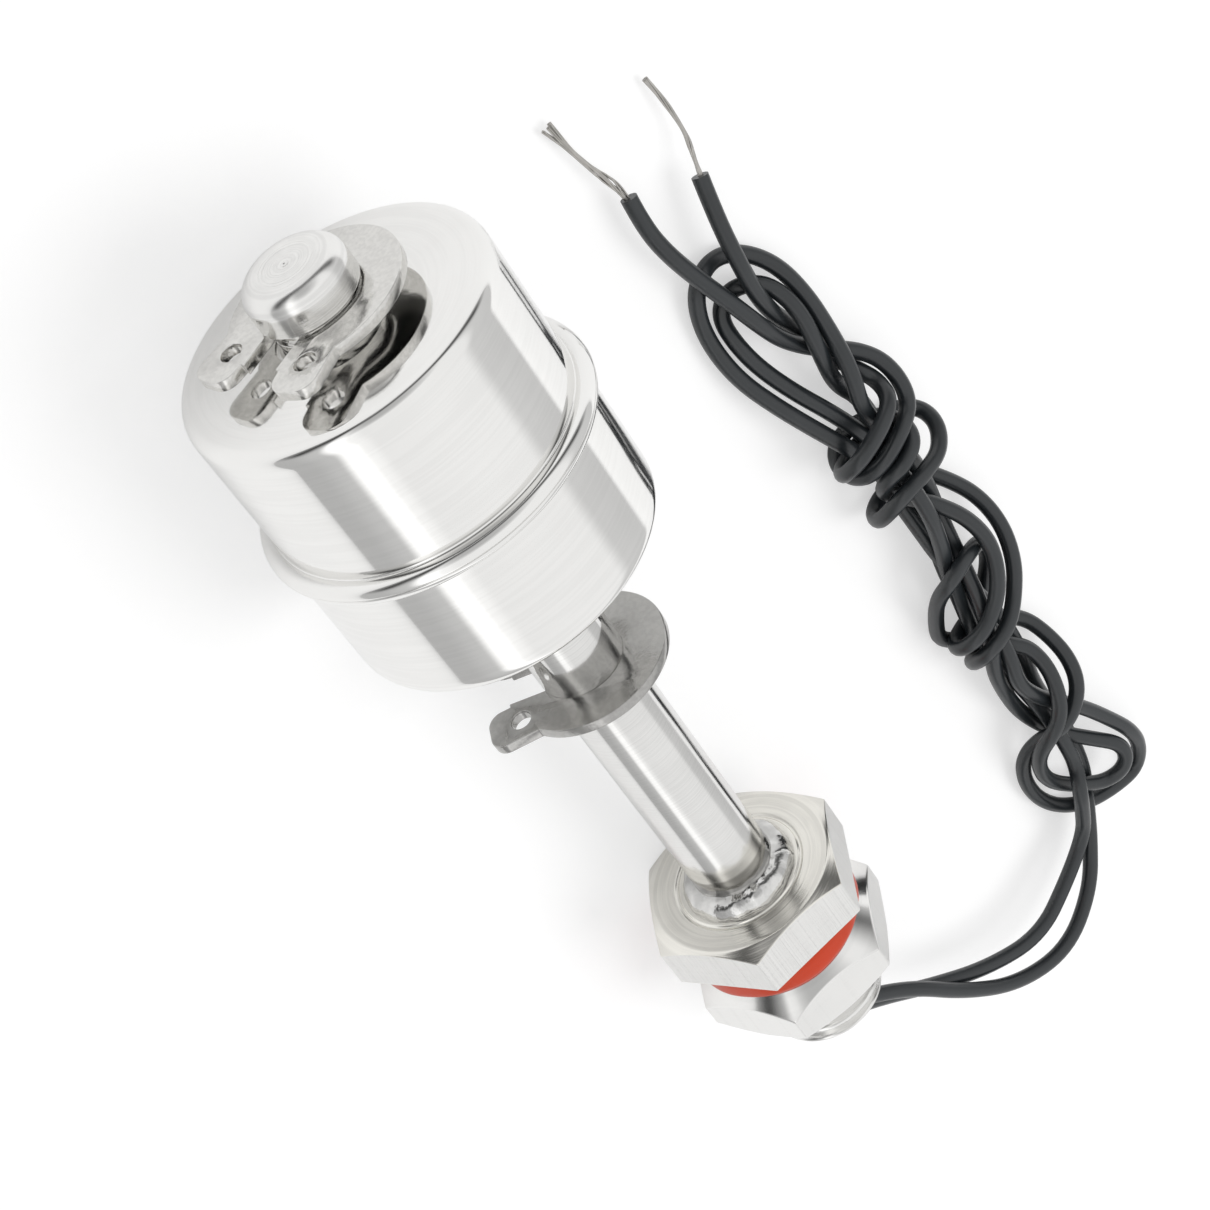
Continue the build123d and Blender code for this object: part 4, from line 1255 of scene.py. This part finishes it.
class LEVELSWITCH_OT_inside(bpy.types.Operator):
    """Gives the pieces inside the stem and the float their materials"""

    bl_idname = "levelswitch.inside"
    bl_label = "Inside pieces"

    def execute(self, context):
        steel = metal("sleeve_steel", finishes().steel, 0.12, 0.20, relief=0.00001, strength=0.2)
        ferrite = plain_stuff("ferrite", (0.055, 0.052, 0.050), 0.55, grains=12.0, Metallic=0.2)
        nylon = plain_stuff("nylon_collar", (0.78, 0.76, 0.70), 0.42, grains=3.0)
        holder = plain_stuff("moulded_holder", (0.70, 0.69, 0.64), 0.40, grains=3.0)
        contact = metal("contact_metal", (0.66, 0.62, 0.54), 0.14, 0.24, marks="grain",
                        relief=0.00001, strength=0.2)
        wire = metal("tinned_wire", finishes().tin, 0.25, 0.4, marks="grain", relief=0.00001,
                     strength=0.2)
        solder = metal("solder_metal", (0.68, 0.68, 0.69), 0.18, 0.32, marks="grain",
                       relief=0.00004, strength=0.4, settings={"Grains per mm": 3.0})
        sleeving = plain_stuff("woven_sleeving", (0.80, 0.72, 0.42), 0.6, grains=9.0)
        resin = plain_stuff("potting_resin", (0.035, 0.034, 0.032), 0.25, grains=1.5)
        glass = plain_stuff("green_glass", (0.82, 0.92, 0.86), 0.04, grains=0.6, strength=0.05,
                            shade=0.97, Transmission_Weight=0.9, IOR=1.5)
        finish = {
            "float_sleeve": steel,
            "ring_magnet": ferrite,
            "magnet_collar_upper": nylon,
            "magnet_collar_lower": nylon,
            "reed_glass": glass,
            "reed_blade_lower": contact,
            "reed_blade_upper": contact,
            "reed_holder": holder,
            "inner_conductor_a": wire,
            "inner_conductor_b": wire,
            "return_sleeve": sleeving,
            "solder_lower": solder,
            "solder_upper": solder,
            "potting_plug": resin,
        }
        for node, material in finish.items():
            use(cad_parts[node], material)
        return {"FINISHED"}


class LEVELSWITCH_PT_panel(bpy.types.Panel):
    """Lists the sizes, the finishes and the steps of the level switch"""

    bl_idname = "LEVELSWITCH_PT_panel"
    bl_label = "Float level switch"
    bl_space_type = "VIEW_3D"
    bl_region_type = "UI"
    bl_category = "Level switch"

    def draw(self, context):
        for group in (context.scene.level_switch_sizes, context.scene.level_switch_finishes):
            box = self.layout.box()
            for key in group.bl_rna.properties.keys():
                if key not in ("rna_type", "name"):
                    box.prop(group, key)
        for operator in OPERATORS:
            self.layout.operator(operator.bl_idname)


OPERATORS = (
    LEVELSWITCH_OT_stage,
    LEVELSWITCH_OT_leads,
    LEVELSWITCH_OT_stem,
    LEVELSWITCH_OT_float,
    LEVELSWITCH_OT_rings,
    LEVELSWITCH_OT_fitting,
    LEVELSWITCH_OT_gasket,
    LEVELSWITCH_OT_nut,
    LEVELSWITCH_OT_inside,
)
CLASSES = (LevelSwitchSizes, LevelSwitchFinishes, *OPERATORS, LEVELSWITCH_PT_panel)


def register():
    for item in CLASSES:
        bpy.utils.register_class(item)
    bpy.types.Scene.level_switch_sizes = PointerProperty(type=LevelSwitchSizes)
    bpy.types.Scene.level_switch_finishes = PointerProperty(type=LevelSwitchFinishes)


def unregister():
    del bpy.types.Scene.level_switch_finishes
    del bpy.types.Scene.level_switch_sizes
    for item in reversed(CLASSES):
        bpy.utils.unregister_class(item)


def main():
    """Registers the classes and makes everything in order."""
    register()
    bpy.ops.levelswitch.stage()
    bpy.ops.levelswitch.leads()
    bpy.ops.levelswitch.stem()
    bpy.ops.levelswitch.float()
    bpy.ops.levelswitch.rings()
    bpy.ops.levelswitch.fitting()
    bpy.ops.levelswitch.gasket()
    bpy.ops.levelswitch.nut()
    bpy.ops.levelswitch.inside()


if __name__ == "__main__":
    main()
